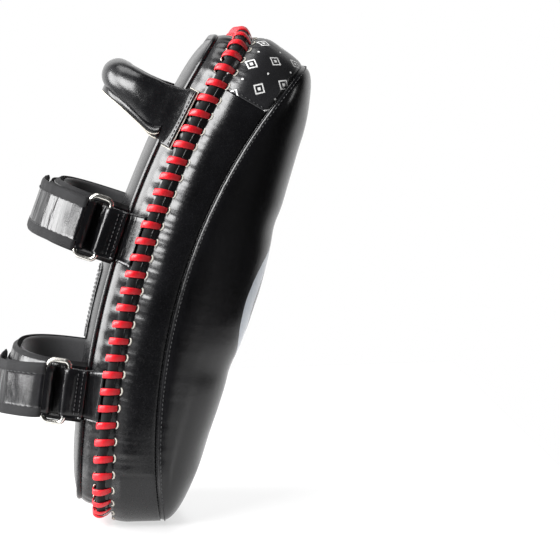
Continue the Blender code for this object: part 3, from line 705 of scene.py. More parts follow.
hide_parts("back_rim_panel")
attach(rim, "pad")

# dark fold of leather at the bottom of the seam between the side walls and the strike face
loops, uvs = [], []
for p in path(0, PER, 2.4 * MM)[:-1]:
    g = gusset(outline(p)[1])
    ring, uv = [], []
    for k in range(8):
        a = 2 * math.pi * k / 8
        ring.append(edge_point(p, 1.9 * MM + 0.8 * MM * math.cos(a), g + 0.2 * MM + 1.0 * MM * math.sin(a)))
        uv.append((p, k * 0.6 * MM))
    loops.append(ring)
    uvs.append(uv)
welt = tubeish("seam_welt", loops, uvs, M_GUSSET, closed=True)
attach(welt, "pad")

# seam round the strike face, and across the side where the printed patch starts
seam_parts = []


def stitch_bead(a, b, out, r, half_w):
    """One short thread stitch from a to b standing r proud."""
    ax = (b - a)
    ln = ax.length
    ax.normalize()
    side = out.cross(ax).normalized()
    vs, fs, us = [], [], []
    for k in range(5):
        f = k / 4
        h = math.sin(math.pi * f)
        c = a + (b - a) * f + out * (r * (0.25 + 0.75 * h) - r * 0.45)
        ww = half_w * (0.45 + 0.55 * h)
        for j in range(6):
            g = 2 * math.pi * j / 6
            vs.append(c + side * (ww * math.cos(g)) + out * (r * 0.5 * math.sin(g)))
            us.append((f * ln, j / 6 * 0.002))
    for k in range(4):
        for j in range(6):
            i = (j + 1) % 6
            fs.append((k * 6 + j, k * 6 + i, (k + 1) * 6 + i, (k + 1) * 6 + j))
    fs.append(tuple(reversed(range(6))))
    fs.append(tuple(24 + j for j in range(6)))
    return vs, fs, us, 0


def edge_out(p):
    w, s, nw, ns = outline(p)
    a = place(w, s, 20 * MM)
    b = place(w + nw * MM, s + ns * MM, 20 * MM)
    return (b - a).normalized()


SEAM_STEP = 3.6 * MM
cnt = int(PER / SEAM_STEP)
parts = []
for k in range(cnt):
    p = k * PER / cnt
    s = outline(p)[1]
    a = edge_point(p, 0.35 * MM, gusset(s) + 3.1 * MM)
    b = edge_point(p + 2.3 * MM, 0.35 * MM, gusset(outline(p + 2.3 * MM)[1]) + 3.1 * MM)
    parts.append(stitch_bead(a, b, edge_out(p), 0.8 * MM, 0.36 * MM))
for side in (1, -1):
    for k in range(int(gusset(352 * MM) / (3.4 * MM)) - 3):
        d = 9 * MM + k * 3.4 * MM
        p = (PATCH + 1.9 * MM) if side > 0 else PER - PATCH - 1.9 * MM
        a = edge_point(p, roll_in(p, d) - 0.05 * MM, d)
        b = edge_point(p, roll_in(p, d + 2.2 * MM) - 0.05 * MM, d + 2.2 * MM)
        parts.append(stitch_bead(a, b, edge_out(p), 0.8 * MM, 0.34 * MM))
top = join_meshes("seam_topstitch", parts, [M_THREAD])
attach(top, "pad")

# ------------------------------------------------------------------ laced ridge
rows, uvs = [], []
for p in path(0, PER, 1.6 * MM):
    pull = lace_pull(p)
    row, uv = [], []
    for k in range(9):
        f = k / 8 * 2 - 1
        e = f * 5.0 * MM
        n = under(e) + (7.1 * (1 - abs(f) ** 2.5) - (0.55 * pull - 0.1) * (1 - abs(f)) ** 0.5
                        + nz(p * 400, f) * 0.16) * MM
        row.append(ridge(p, e, n))
        uv.append((p, e))
    rows.append(row)
    uvs.append(uv)
bind = away(grid("ridge_binding", rows, uvs, M_WEAVE, closed=True))
thick(bind, 0.9 * MM)
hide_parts("lace_binding")
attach(bind, "pad")

lace_parts, hole_highlight_parts = [], []
SEC = 10
for k in range(STITCHES):
    p = k * PITCH
    wv, s, nw, ns = outline(p)
    sgn = min(max(wv / (25 * MM), -1.0), 1.0)
    slant = math.tan(math.radians(3 + 19 * s / LEN)) * sgn + 0.07 * nz(k * 3.7, 1.2)
    half = (2.75 + 0.2 * nz(k * 1.9, 4.0)) * MM
    long_ = 1.0 + 0.04 * nz(k * 2.3, 8.0)
    vs, fs, us = [], [], []
    PTS = 15
    for a in range(PTS):
        f = a / (PTS - 1) * 2 - 1
        e = (0.7 + f * 6.9) * long_ * MM
        n = under(e) + (0.5 + 8.0 * (1 - abs(f) ** 2.9)) * MM
        if abs(f) > 0.9:
            n -= 1.6 * MM * (abs(f) - 0.9) / 0.1
        ww = half * (1.0 - 0.22 * abs(f) ** 4)
        tk = (1.0 - 0.15 * abs(f)) * MM
        pc = p - slant * e
        for j in range(SEC):
            g = 2 * math.pi * j / SEC
            cx, cy = math.cos(g), math.sin(g)
            dx = math.copysign(abs(cx) ** 0.7, cx) * ww
            dn = math.copysign(abs(cy) ** 0.8, cy) * tk * (1.0 - 0.25 * (cx * cx))
            vs.append(ridge(pc + dx, e, n + dn))
            us.append((e, dx))
    for a in range(PTS - 1):
        for j in range(SEC):
            i = (j + 1) % SEC
            fs.append((a * SEC + j, a * SEC + i, (a + 1) * SEC + i, (a + 1) * SEC + j))
    fs.append(tuple(reversed(range(SEC))))
    fs.append(tuple((PTS - 1) * SEC + j for j in range(SEC)))
    lace_parts.append((vs, fs, us, 0))
    # pale rim of the punched hole, round the stitch's end: partly the raw cut edge of the leather, partly a painted
    # highlight on the rim
    for end in (-1, 1):
        vs, fs, us = [], [], []
        big = 1.0 if end < 0 else 0.75
        for a in range(9):
            g = math.pi * (a / 8 - 0.5)
            dp = 2.9 * MM * math.sin(g) * big
            out_ = 1.9 * MM * math.cos(g) * big
            if end < 0:
                d = 7.0 * MM + out_
                q0 = (roll_in(p, d) - 0.15 * MM, d)
                q1 = (roll_in(p, d) - 0.9 * MM, d)
            else:
                e = 7.1 * MM + out_
                i, d = ridge_id(p, e, under(e) + 0.35 * MM)
                q0, q1 = (i, d), (i - 0.5 * MM, d - 0.5 * MM)
            pc = p - slant * (end * (7.0 * MM + out_)) + dp
            rr = (0.5 + 0.22 * math.cos(g)) * MM * big
            mid = edge_point(pc, *q0)
            up = (edge_point(pc, *q1) - mid).normalized()
            along = (edge_point(pc + 1 * MM, *q0) - edge_point(pc - 1 * MM, *q0)).normalized()
            sidev = along.cross(up).normalized()
            tang = (sidev * math.sin(g) + along * math.cos(g) * (1 if end < 0 else -1)).normalized()
            rad = tang.cross(up).normalized()
            for j in range(6):
                q = 2 * math.pi * j / 6
                vs.append(mid + rad * (rr * math.cos(q)) + up * (rr * 0.7 * math.sin(q)))
                us.append((a * 0.001, j * 0.0003))
        for a in range(8):
            for j in range(6):
                i = (j + 1) % 6
                fs.append((a * 6 + j, a * 6 + i, (a + 1) * 6 + i, (a + 1) * 6 + j))
        fs.append(tuple(reversed(range(6))))
        fs.append(tuple(48 + j for j in range(6)))
        hole_highlight_parts.append((vs, fs, us, 0))
lace = join_meshes("red_lace_stitches", lace_parts, [M_LACE])
bm = bmesh.new()
bm.from_mesh(lace.data)
bmesh.ops.recalc_face_normals(bm, faces=bm.faces)
bm.to_mesh(lace.data)
bm.free()
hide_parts("red_lace")
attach(lace, "pad")
hole_rim_highlights = join_meshes("lace_hole_rim_highlights", hole_highlight_parts, [M_RAW_EDGE_AND_HIGHLIGHT])
bm = bmesh.new()
bm.from_mesh(hole_rim_highlights.data)
bmesh.ops.recalc_face_normals(bm, faces=bm.faces)
bm.to_mesh(hole_rim_highlights.data)
bm.free()
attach(hole_rim_highlights, "pad")

# ------------------------------------------------------------------ back
loops, uvs = [], []
for p in path(0, PER)[:-1]:
    w, s, nw, ns = outline(p)
    loop, uv = [], []
    for j in range(10):
        g = 2 * math.pi * j / 10
        loop.append(edge_point(p, PIP_I + PIP_R * math.cos(g), PIP_D + PIP_R * math.sin(g)))
        uv.append((p, j * 0.0015))
    loops.append(loop)
    uvs.append(uv)
piping = tubeish("back_piping_cord", loops, uvs, M_BACK, closed=True)
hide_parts("back_piping")
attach(piping, "pad")


def back_depth(i):
    return PIP_D + 0.5 * MM - 6.5 * MM * shoulder(i - 22.2 * MM, 40 * MM)


def back_point(w, s, i, k):
    edge = math.exp(-(i - 22.2 * MM) / (9 * MM))
    pk = nz(k * 1.4, 30.0) * 0.6 * MM * edge * (1 - math.exp(-(i - 22.2 * MM) / (2.5 * MM)))
    dent = nz(w * 28, s * 24, 11.0) * 0.7 * MM * (1 - edge)
    return place(w, s, back_depth(i) + pk + dent)


back = rings_skin("back_panel_skin", [x * MM for x in (22.2, 23.2, 24.6, 26.5, 29, 32, 36, 41, 47, 54, 62,
                                                       70, 78, 85)],
                  back_point, M_BACK, lambda w, s: (w, s))
thick(back, 2.0 * MM)
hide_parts("back_panel")
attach(back, "pad")

# blank sewn patch between the straps
LB = (136 * MM, 190 * MM, 34 * MM)
rows, uvs = [], []
for a in range(25):
    s = LB[0] + (LB[1] - LB[0]) * a / 24
    row, uv = [], []
    for c in range(31):
        w = -LB[2] + 2 * LB[2] * c / 30
        ew = min(LB[2] - abs(w), s - LB[0], LB[1] - s)
        puff = 1.0 * MM * (1 - math.exp(-max(ew, 0) / (1.2 * MM)))
        i = HW - abs(w)
        row.append(place(w, s, back_depth(i) - 0.9 * MM - puff + nz(w * 90, s * 90) * 0.25 * MM))
        uv.append((w, s))
    rows.append(row)
    uvs.append(uv)
label = away(grid("back_blank_patch", rows, uvs, M_STRAP))
thick(label, 0.8 * MM)
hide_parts("back_label")
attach(label, "pad")
parts = []
for a in range(15):
    for side in (-1, 1):
        s = LB[0] + 2.4 * MM + a * (LB[1] - LB[0] - 5 * MM) / 15
        w = side * (LB[2] - 2.2 * MM)
        parts.append(stitch_bead(place(w, s, back_depth(HW - abs(w)) - 1.8 * MM),
                                 place(w, s + 2.3 * MM, back_depth(HW - abs(w)) - 1.8 * MM),
                                 (place(0, s, -1) - place(0, s, 0)).normalized(), 0.7 * MM, 0.35 * MM))
for a in range(18):
    for s in (LB[0] + 2.2 * MM, LB[1] - 2.2 * MM):
        w = -LB[2] + 2.4 * MM + a * (2 * LB[2] - 5 * MM) / 18
        parts.append(stitch_bead(place(w, s, back_depth(HW - abs(w)) - 1.8 * MM),
                                 place(w + 2.3 * MM, s, back_depth(HW - abs(w)) - 1.8 * MM),
                                 (place(0, s, -1) - place(0, s, 0)).normalized(), 0.7 * MM, 0.35 * MM))
lst = join_meshes("back_patch_stitch", parts, [M_THREAD])
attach(lst, "pad")


# ------------------------------------------------------------------ straps
def arch_curve():
    pts = []
    n = 96
    for k in range(n + 1):
        a = math.pi * k / n
        c, s = math.cos(a), math.sin(a)
        pts.append((-ARCH_HALF * math.copysign(abs(c) ** (2 / ARCH_POWER), c),
                    ARCH_START - ARCH_RISE * abs(s) ** (2 / ARCH_POWER)))
    ln = [0.0]
    for a, b in zip(pts, pts[1:]):
        ln.append(ln[-1] + math.hypot(b[0] - a[0], b[1] - a[1]))
    return pts, ln


ARCH, ARCH_LEN = arch_curve()
TOTAL = ARCH_LEN[-1]


def arch_at(sig, off):
    """(w, d) on the arch; past either end it runs straight down to the pad."""
    def at(x):
        if x < 0:
            return ARCH[0][0], ARCH[0][1] - x
        if x > TOTAL:
            return ARCH[-1][0], ARCH[-1][1] + (x - TOTAL)
        j = 0
        while j < len(ARCH_LEN) - 2 and ARCH_LEN[j + 1] < x:
            j += 1
        f = (x - ARCH_LEN[j]) / (ARCH_LEN[j + 1] - ARCH_LEN[j])
        a, b = ARCH[j], ARCH[j + 1]
        return a[0] + f * (b[0] - a[0]), a[1] + f * (b[1] - a[1])

    a, b = at(sig - 5 * MM), at(sig + 5 * MM)
    tw, td = b[0] - a[0], b[1] - a[1]
    ln = math.hypot(tw, td)
    tw, td = tw / ln, td / ln
    w, d = at(sig)
    return w + td * off, d - tw * off


SIG_A, SIG_B = 5 * MM, 17 * MM
FLAP_END = TOTAL * 0.66
LEVEL, WIRE = 15.9 * MM, 1.9 * MM


def lie(sig):
    k = min(max((sig - SIG_B) / (20 * MM), 0.0), 1.0)
    k = k * k * (3 - 2 * k)
    return (LEVEL + WIRE + 1.9 * MM) * (1 - k) + 14.9 * MM * k


def flat_loop(half, t, n=13, edge=0.5):
    """Cross-section of a flat strip: (across, up) round it, with rounded long edges."""
    top = []
    for k in range(n):
        f = k / (n - 1) * 2 - 1
        f = math.copysign(abs(f) ** 0.8, f)
        top.append((f * half, t * (1 - edge * max(0.0, (abs(f) - 0.86) / 0.14) ** 2)))
    bot = [(x, t - y) for x, y in reversed(top)]
    return top + bot


def sag(sig, drop):
    k = min(max((sig - SIG_B) / (TOTAL - SIG_B), 0.0), 1.0)
    return drop * math.sin(math.pi * k) ** 0.8


def layer(name, s, sigs, base, half, t, mats, body, crease=0.0, seed=0.0, edge_width=0.0, edge_lift=0.0,
          n=13, pillow=0.0, drop=0.0):
    """A strap layer along the arch; edges wider than edge_width get the second material."""
    loops, uvs = [], []
    lp = flat_loop(half, t, n)
    dist = 0.0
    prev = None
    for idx, sig in enumerate(sigs):
        lo, uv = [], []
        for j, (x, y) in enumerate(lp):
            topside = j < n
            xx = x - sag(sig, drop)
            f = abs(x) / half
            off = base(sig) if callable(base) else base
            yy = y
            if pillow and topside:
                yy += pillow * (1 - f ** 2.5)
            if topside and crease:
                yy += crease * (nz(sig * 150, x * 22, seed) * 1.3 + nz(sig * 420, x * 36, seed + 3) * 0.45) \
                    * (1 - 0.6 * f)
            if edge_width and abs(x) > half - edge_width:
                yy += edge_lift * (1 if topside else -0.3)
            sg = sig
            w, d = arch_at(sg, off + yy)
            lo.append(local(s, w, d, xx))
            uv.append((dist, x))
        if prev is not None:
            pass
        loops.append(lo)
        uvs.append(uv)
        if idx + 1 < len(sigs):
            dist += sigs[idx + 1] - sig
    lm = None
    if edge_width:
        m = len(lp)
        lm = []
        for j in range(m):
            x = (lp[j][0] + lp[(j + 1) % m][0]) / 2
            lm.append(1 if abs(x) > half - edge_width else 0)
    ob = tubeish(name, loops, uvs, mats, loop_mat=lm)
    return ob


def seq(a, b, step=2.4 * MM):
    n = max(2, int(round((b - a) / step)))
    return [a + (b - a) * k / n for k in range(n + 1)]


def ribbon(name, s, pts, half, t, mats, seed=0.0, crease=0.0, half_fn=None, n=13):
    """A leather strip through (w, d) points, centred on them."""
    # resample with a Catmull-Rom curve
    out = []
    P = [pts[0]] + list(pts) + [pts[-1]]
    for k in range(1, len(P) - 2):
        for f in (0.0, 0.25, 0.5, 0.75):
            p0, p1, p2, p3 = P[k - 1], P[k], P[k + 1], P[k + 2]
            out.append(tuple(0.5 * ((2 * p1[c]) + (-p0[c] + p2[c]) * f
                                    + (2 * p0[c] - 5 * p1[c] + 4 * p2[c] - p3[c]) * f * f
                                    + (-p0[c] + 3 * p1[c] - 3 * p2[c] + p3[c]) * f ** 3) for c in (0, 1)))
    out.append(pts[-1])
    loops, uvs = [], []
    lp = flat_loop(half, t, n)
    dist = 0.0
    for k, (w, d) in enumerate(out):
        a, b = out[max(k - 1, 0)], out[min(k + 1, len(out) - 1)]
        tw, td = b[0] - a[0], b[1] - a[1]
        ln = math.hypot(tw, td) or 1.0
        nw, nd = td / ln, -tw / ln
        sc = half_fn(k / (len(out) - 1)) if half_fn else 1.0
        lo, uv = [], []
        for x, y in lp:
            yy = y - t / 2 + crease * nz(dist * 300, x * 30, seed) * (1 - abs(x) / half * 0.6)
            lo.append(local(s, w + nw * yy, d + nd * yy, x * sc))
            uv.append((dist, x))
        loops.append(lo)
        uvs.append(uv)
        if k + 1 < len(out):
            dist += math.hypot(out[k + 1][0] - w, out[k + 1][1] - d)
    return tubeish(name, loops, uvs, mats), out


def strap_stitches(name, s, runs, body, out_dir=None):
    parts = []
    for pts in runs:
        for (w0, d0, t0), (w1, d1, t1), (ow, od) in pts:
            a, b = local(s, w0, d0, t0), local(s, w1, d1, t1)
            o = (local(s, w0 + ow, d0 + od, t0) - a).normalized()
            parts.append(stitch_bead(a, b, o, 0.75 * MM, 0.36 * MM))
    ob = join_meshes(name, parts, [M_THREAD])
    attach(ob, body)
    return ob


for tag, s, drop in STRAPS:
    loop, ringb, flapb = tag + "_loop", tag + "_ring_body", tag + "_flap_body"
    seed = 3.0 if tag == "lower" else 17.0
    # padded cuff: leather outside, suede inside, sewn down at both ends
    cuff = layer(tag + "_cuff", s, seq(-8 * MM, TOTAL + 8 * MM), 2.2 * MM, 23 * MM, 5.6 * MM,
                 [M_STRAP, M_WEAVE], loop, crease=0.9 * MM, seed=seed, edge_width=3.0 * MM,
                 edge_lift=-0.2 * MM, pillow=1.7 * MM)
    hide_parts(tag + "_strap_sleeve")
    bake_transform(cuff)
    lin = layer(tag + "_cuff_lining", s, seq(-8 * MM, TOTAL + 8 * MM), 0.2 * MM, 22.4 * MM, 1.9 * MM,
                [M_SUEDE], loop, crease=0.0)
    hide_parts(tag + "_strap_lining")
    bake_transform(lin)
    # band under the flap, with woven edges
    band = layer(tag + "_band", s, seq(SIG_B - 0.5 * MM, TOTAL - 3 * MM), 9.75 * MM, 20.5 * MM, 1.9 * MM,
                 [M_STRAP, M_WEAVE], loop, crease=0.25 * MM, seed=seed + 5, edge_width=6.0 * MM,
                 edge_lift=0.25 * MM, drop=drop)
    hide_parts(tag + "_strap_band")
    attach(band, loop)
    # flap with woven edges, closed over the band
    flap = layer(tag + "_flap", s, seq(SIG_B, FLAP_END, 1.8 * MM), lie, 20.5 * MM, 2.5 * MM,
                 [M_STRAP, M_WEAVE], flapb, crease=0.95 * MM, seed=seed + 9, edge_width=7.2 * MM,
                 edge_lift=0.55 * MM, n=19, drop=drop)
    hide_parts(tag + "_strap_flap", tag + "_flap_binding")
    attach(flap, flapb)
    # woven end of the flap
    endp = layer(tag + "_flap_end", s, seq(FLAP_END - 6.5 * MM, FLAP_END + 0.3 * MM, 1.2 * MM),
                 lambda g: lie(g) - 0.15 * MM, 20.7 * MM, 3.4 * MM, [M_WEAVE], flapb, n=9, drop=drop)
    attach(endp, flapb)
    # leather turning round the ring's outer bar
    a_w, a_d = arch_at(SIG_A, LEVEL)
    b_w, b_d = arch_at(SIG_B, LEVEL)
    nu = arch_at(SIG_B, LEVEL + MM)
    nu = ((nu[0] - b_w) / MM, (nu[1] - b_d) / MM)
    tau = (-nu[1] * 1.0, nu[0])
    if tau[1] > 0:
        tau = (nu[1], -nu[0])
    pts = []
    for g in range(-100, 101, 20):
        t = math.radians(g)
        r = 4.75 * MM
        # from the inner side (-nu), round the near side (-tau), to the outer side (+nu)
        cn, ct = math.sin(t), -math.cos(t)
        pts.append((b_w + r * (nu[0] * cn + tau[0] * ct), b_d + r * (nu[1] * cn + tau[1] * ct)))
    turn, _ = ribbon(tag + "_flap_turn", s, pts, 18.9 * MM, 2.0 * MM, [M_STRAP], seed=seed, crease=0.2 * MM)
    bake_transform(turn)
    # near tab: sewn under the lacing, over the rim, out and round the ring's bar
    pts = [(-86.0 * MM, -5.6 * MM), (-84.0 * MM, -8.8 * MM), (-82.4 * MM, -13.2 * MM),
           (-81.2 * MM, -19.5 * MM), (-80.0 * MM, -26 * MM)]
    r = WIRE + 1.5 * MM
    pts += [(a_w + r * math.cos(math.radians(g)), a_d + r * math.sin(math.radians(g)))
            for g in (35, 0, -35, -90, -145, -185)]
    pts += [(-84.3 * MM, -28.0 * MM), (-83.6 * MM, -23.5 * MM), (-84.0 * MM, -18.5 * MM)]
    tab, _ = ribbon(tag + "_ring_tab_leather", s, pts, 19.0 * MM, 1.7 * MM, [M_STRAP], seed=seed + 2,
                    crease=0.3 * MM, half_fn=lambda f: 1.08 - 0.1 * min(1.0, f * 4))
    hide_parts(tag + "_ring_tab", tag + "_ring_tab_root")
    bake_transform(tab)
    # far tab joins the band's other end to the far rim
    pts = [(85.0 * MM, -6.8 * MM), (82.6 * MM, -10.4 * MM), (80.9 * MM, -16.2 * MM), (79.9 * MM, -22.5 * MM)]
    pts += [arch_at(TOTAL - g * MM, 13.0 * MM) for g in (3, 9, 15, 21, 26)]
    ftab, _ = ribbon(tag + "_far_tab_leather", s, pts, 19.0 * MM, 1.8 * MM, [M_STRAP], seed=seed + 4,
                     crease=0.3 * MM, half_fn=lambda f: 1.08 - 0.1 * min(1.0, f * 3))
    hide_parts(tag + "_far_tab", tag + "_far_tab_root")
    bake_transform(ftab)
    # wire ring
    reach = math.hypot(b_w - a_w, b_d - a_d)
    ux, uy = (b_w - a_w) / reach, (b_d - a_d) / reach
    half, rc = 23.4 * MM, 4.4 * MM
    cl = []
    for cx, cz, a0 in ((reach - rc, half - rc, 0), (rc, half - rc, 90),
                       (rc, -half + rc, 180), (reach - rc, -half + rc, 270)):
        for k in range(9):
            t = math.radians(a0 + 90 * k / 8)
            cl.append((cx + rc * math.cos(t), cz + rc * math.sin(t)))
    loops, uvs = [], []
    m = len(cl)
    for k in range(m):
        q0, q1 = cl[k - 1], cl[(k + 1) % m]
        tq, tz = q1[0] - q0[0], q1[1] - q0[1]
        ln = math.hypot(tq, tz)
        nq, nzz = tz / ln, -tq / ln
        lo, uv = [], []
        for j in range(12):
            g = 2 * math.pi * j / 12
            q = cl[k][0] + nq * WIRE * math.cos(g)
            z = cl[k][1] + nzz * WIRE * math.cos(g)
            o = WIRE * math.sin(g)
            lo.append(local(s, a_w + ux * q + uy * o, a_d + uy * q - ux * o, -z))
            uv.append((k * 0.004, j * 0.001))
        loops.append(lo)
        uvs.append(uv)
    wire = tubeish(tag + "_wire_ring", loops, uvs, M_NICKEL, closed=True)
    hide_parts(tag + "_ring")
    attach(wire, ringb)
    # stitching on the near tab and along the flap's bound edges
    runs = []
    for row in (0, 1):
        d0 = (-21.5 - 3.6 * row) * MM
        w0 = -84.75 * MM
        runs.append([((w0, d0, (-16 + 3.3 * k) * MM), (w0, d0, (-13.9 + 3.3 * k) * MM), (-1, 0))
                     for k in range(10)])
    strap_stitches(tag + "_tab_stitch", s, runs, loop)
    runs = []
    for t0 in (-12.6 * MM, 12.6 * MM):
        run = []
        g = SIG_B + 4 * MM
        while g < FLAP_END - 8 * MM:
            tz = t0 - sag(g, drop)
            wa, da = arch_at(g, lie(g) + 2.75 * MM)
            wb, db = arch_at(g + 2.2 * MM, lie(g + 2.2 * MM) + 2.75 * MM)
            wo, do = arch_at(g, lie(g) + 3.75 * MM)
            run.append(((wa, da, tz), (wb, db, tz), (wo - wa, do - da)))
            g += 3.5 * MM
        runs.append(run)
    strap_stitches(tag + "_flap_stitch", s, runs, flapb)

# ------------------------------------------------------------------ grip
def grip_centre(a):
    c, si = math.cos(a), math.sin(a)
    return (-69 * MM * math.copysign(abs(c) ** (2 / 2.9), c),
            -25 * MM - 41.5 * MM * abs(si) ** (2 / 2.9))


GRIP_CTRL = ((-83.0, -10.2, 22.5, 1.4), (-81.2, -14.6, 22.2, 2.3), (-78.3, -20.8, 20.8, 4.8),
             (-75.0, -29.0, 18.6, 7.6), (-71.8, -38.5, 16.2, 10.2), (-67.6, -49.0, 14.3, 12.0),
             (-61.5, -58.4, 13.1, 12.8), (-52.5, -64.3, 12.8, 12.8), (-40.0, -66.3, 12.6, 12.6),
             (-20.0, -66.6, 12.5, 12.5), (0.0, -66.6, 12.6, 12.6))
ctrl = [(w * MM, d * MM, -GRIP_LEAN * min(d + 25.0, 0.0) * MM, a * MM, b * MM) for w, d, a, b in GRIP_CTRL]
ctrl = ctrl + [(-w, d, t0, a, b) for w, d, t0, a, b in reversed(ctrl[:-1])]


def catmull(P, sub):
    out = []
    Q = [P[0]] + P + [P[-1]]
    for k in range(1, len(Q) - 2):
        for i in range(sub):
            f = i / sub
            p0, p1, p2, p3 = Q[k - 1], Q[k], Q[k + 1], Q[k + 2]
            out.append(tuple(0.5 * ((2 * p1[c]) + (-p0[c] + p2[c]) * f
                                    + (2 * p0[c] - 5 * p1[c] + 4 * p2[c] - p3[c]) * f * f
                                    + (-p0[c] + 3 * p1[c] - 3 * p2[c] + p3[c]) * f ** 3)
                             for c in range(len(p1))))
    out.append(P[-1])
    return out


gp = catmull(ctrl, 5)
GN = 32


def grip_axis(k):
    a, b = gp[max(k - 1, 0)], gp[min(k + 1, len(gp) - 1)]
    tw, td = b[0] - a[0], b[1] - a[1]
    ln = math.hypot(tw, td)
    return td / ln, -tw / ln


def grip_step(k):
    if k + 1 >= len(gp):
        return 0.0
    return math.hypot(gp[k + 1][0] - gp[k][0], gp[k + 1][1] - gp[k][1])


loops, uvs = [], []
dist = 0.0
for k, (w, d, t0, ht, hn) in enumerate(gp):
    nw, nd = grip_axis(k)
    bend = math.exp(-((abs(w) - 64 * MM) / (9 * MM)) ** 2)
    lo, uv = [], []
    for j in range(GN):
        g = 2 * math.pi * j / GN
        cx, cy = math.cos(g), math.sin(g)
        inner = max(0.0, -cy)
        wr = (nz(dist * 110, g * 1.1, 2.0) * 0.35 + nz(dist * 420, g * 1.4, 6.0) * 0.5 * bend * inner
              + nz(dist * 260, g * 1.7, 16.0) * 0.15) * MM
        o = (hn + wr) * cy
        lo.append(local(GRIP_S, w + nw * o, d + nd * o, t0 + (ht + wr) * cx))
        uv.append((dist, g * 0.012))
    loops.append(lo)
    uvs.append(uv)
    dist += grip_step(k)
grip = tubeish("grip_roll", loops, uvs, M_GRIP)
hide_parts("grip_cover", "grip_root_left", "grip_root_right")
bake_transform(grip)

# the roll's seam allowance: two sewn layers that stand off its lower outer side, cut edges pale
for nm, off_n, drop_t, mat in (("grip_seam_outer", 5.4, 4.4, M_GRIP), ("grip_seam_inner", 3.7, 3.6, M_GRIP),
                               ("grip_seam_raw_outer", 5.4, 4.8, M_RAW_EDGE_AND_HIGHLIGHT), ("grip_seam_raw_inner", 3.7, 4.0, M_RAW_EDGE_AND_HIGHLIGHT)):
    loops, uvs = [], []
    dist = 0.0
    first, last = 9, len(gp) - 10
    for k in range(first, last + 1):
        w, d, t0, ht, hn = gp[k]
        nw, nd = grip_axis(k)
        f = abs(2 * (k - first) / (last - first) - 1)
        c_n = off_n * (1 - 0.35 * f ** 3) * MM
        root = t0 - ht * math.sqrt(max(0.0, 1 - (c_n / hn) ** 2))
        wave = nz(dist * 70, off_n) * 0.5 * MM
        bot = root - drop_t * MM - wave
        topt = root + 1.6 * MM
        half_t = 0.72 * MM
        if mat is M_RAW_EDGE_AND_HIGHLIGHT:
            topt, half_t = bot + 0.75 * MM, 0.55 * MM
        curl = nz(dist * 55, 3.0) * 0.5 * MM
        lo, uv = [], []
        for ta, na in ((topt, -1), ((topt + bot) / 2, -1), (bot, -0.7), (bot, 0.7), ((topt + bot) / 2, 1), (topt, 1)):
            o = c_n + half_t * na + curl * (root - ta) / (6 * MM)
            lo.append(local(GRIP_S, w + nw * o, d + nd * o, ta))
            uv.append((dist, ta))
        loops.append(lo)
        uvs.append(uv)
        dist += grip_step(k)
    fl = tubeish(nm, loops, uvs, mat)
    if nm == "grip_seam_outer":
        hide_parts("grip_seam_edge")
    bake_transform(fl)

# folded base of the grip's flared ends: a sewn-down tab with its pale cut edge
for side, nm in ((-1, "left"), (1, "right")):
    for lay, (off, half, tk, mat, sl, d_in, d_out) in {
            "hem": (3.4, 23.4, 1.7, M_GRIP, "gloss_leather", -6.4, -13.4),
            "raw_edge": (2.4, 24.0, 1.0, M_RAW_EDGE_AND_HIGHLIGHT, "suede_lining", -6.0, -13.0)}.items():
        loops, uvs = [], []
        for k in range(9):
            f = k / 8
            dd = d_in + (d_out - d_in) * f
            w = side * (HW / MM + 1.3 - 4.3 - 0.98 * (-dd)) * MM
            d = dd * MM
            nw, nd = side * 0.7, -0.7
            lo, uv = [], []
            for x, y in flat_loop(half * MM, tk * MM, 21):
                yy = y + off * MM + nz(x * 60, f, side) * 0.25 * MM
                lo.append(local(GRIP_S, w + nw * yy, d + nd * yy, x))
                uv.append((f * 0.01, x))
            loops.append(lo)
            uvs.append(uv)
        hem = tubeish("grip_" + lay + "_" + nm, loops, uvs, mat)
        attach(hem, "pad")
    parts = []
    for row_d in (-7.6, -11.6):
        w = side * (HW / MM + 1.3 - 4.3 - 0.98 * (-row_d)) * MM
        d = row_d * MM
        for k in range(13):
            x = (-21.6 + 3.4 * k) * MM
            o = 5.2 * MM
            a = local(GRIP_S, w + side * 0.7 * o, d - 0.7 * o, x)
            b = local(GRIP_S, w + side * 0.7 * o, d - 0.7 * o, x + 2.3 * MM)
            up = (local(GRIP_S, w + side * 0.7, d - 0.7, x) - local(GRIP_S, w, d, x)).normalized()
            parts.append(stitch_bead(a, b, up, 0.8 * MM, 0.36 * MM))
    st = join_meshes("grip_base_stitch_" + nm, parts, [M_THREAD])
    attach(st, "pad")

# ------------------------------------------------------------------ pieces kept from the frame
KEEP = {"strike_foam": M_FOAM, "middle_foam": M_FOAM, "inner_foam": M_FOAM, "grip_core": M_FOAM,
        "back_board": M_FOAM}
for tag, _s, _d in STRAPS:
    KEEP[tag + "_hook_tape"] = M_TAPE
    KEEP[tag + "_loop_tape"] = M_TAPE
for node, mat in KEEP.items():
    ob = bpy.data.objects.get(node)
    if ob is not None:
        for sl in ob.material_slots:
            sl.material = mat

# ------------------------------------------------------------------ floor, light, camera
fl = bpy.data.meshes.new("floor")
fl.from_pydata([(-0.34, -0.36, 0), (0.75, -0.36, 0), (0.75, 0.5, 0), (-0.34, 0.5, 0)], [], [(0, 1, 2, 3)])
floor = bpy.data.objects.new("studio_floor", fl)
bpy.context.scene.collection.objects.link(floor)
fm = bpy.data.materials.new("pale_floor")
nt, b = nodes_of(fm)
fn = tex_noise(nt, 3.0, 2, 0.5, coords(nt))
fr = ramp(nt, fn.outputs["Fac"], [(0.3, (0.3, 0.3, 0.3)), (0.7, (0.33, 0.33, 0.33))])
nt.links.new(fr.outputs[0], b.inputs["Base Color"])
b.inputs["Roughness"].default_value = 0.22
b.inputs["Specular IOR Level"].default_value = 0.35
fl.materials.append(fm)
floor.location.z = -0.0004

fm_b = b
fm_b.inputs["Emission Color"].default_value = (1, 1, 1, 1)
fm_b.inputs["Emission Strength"].default_value = 0.6

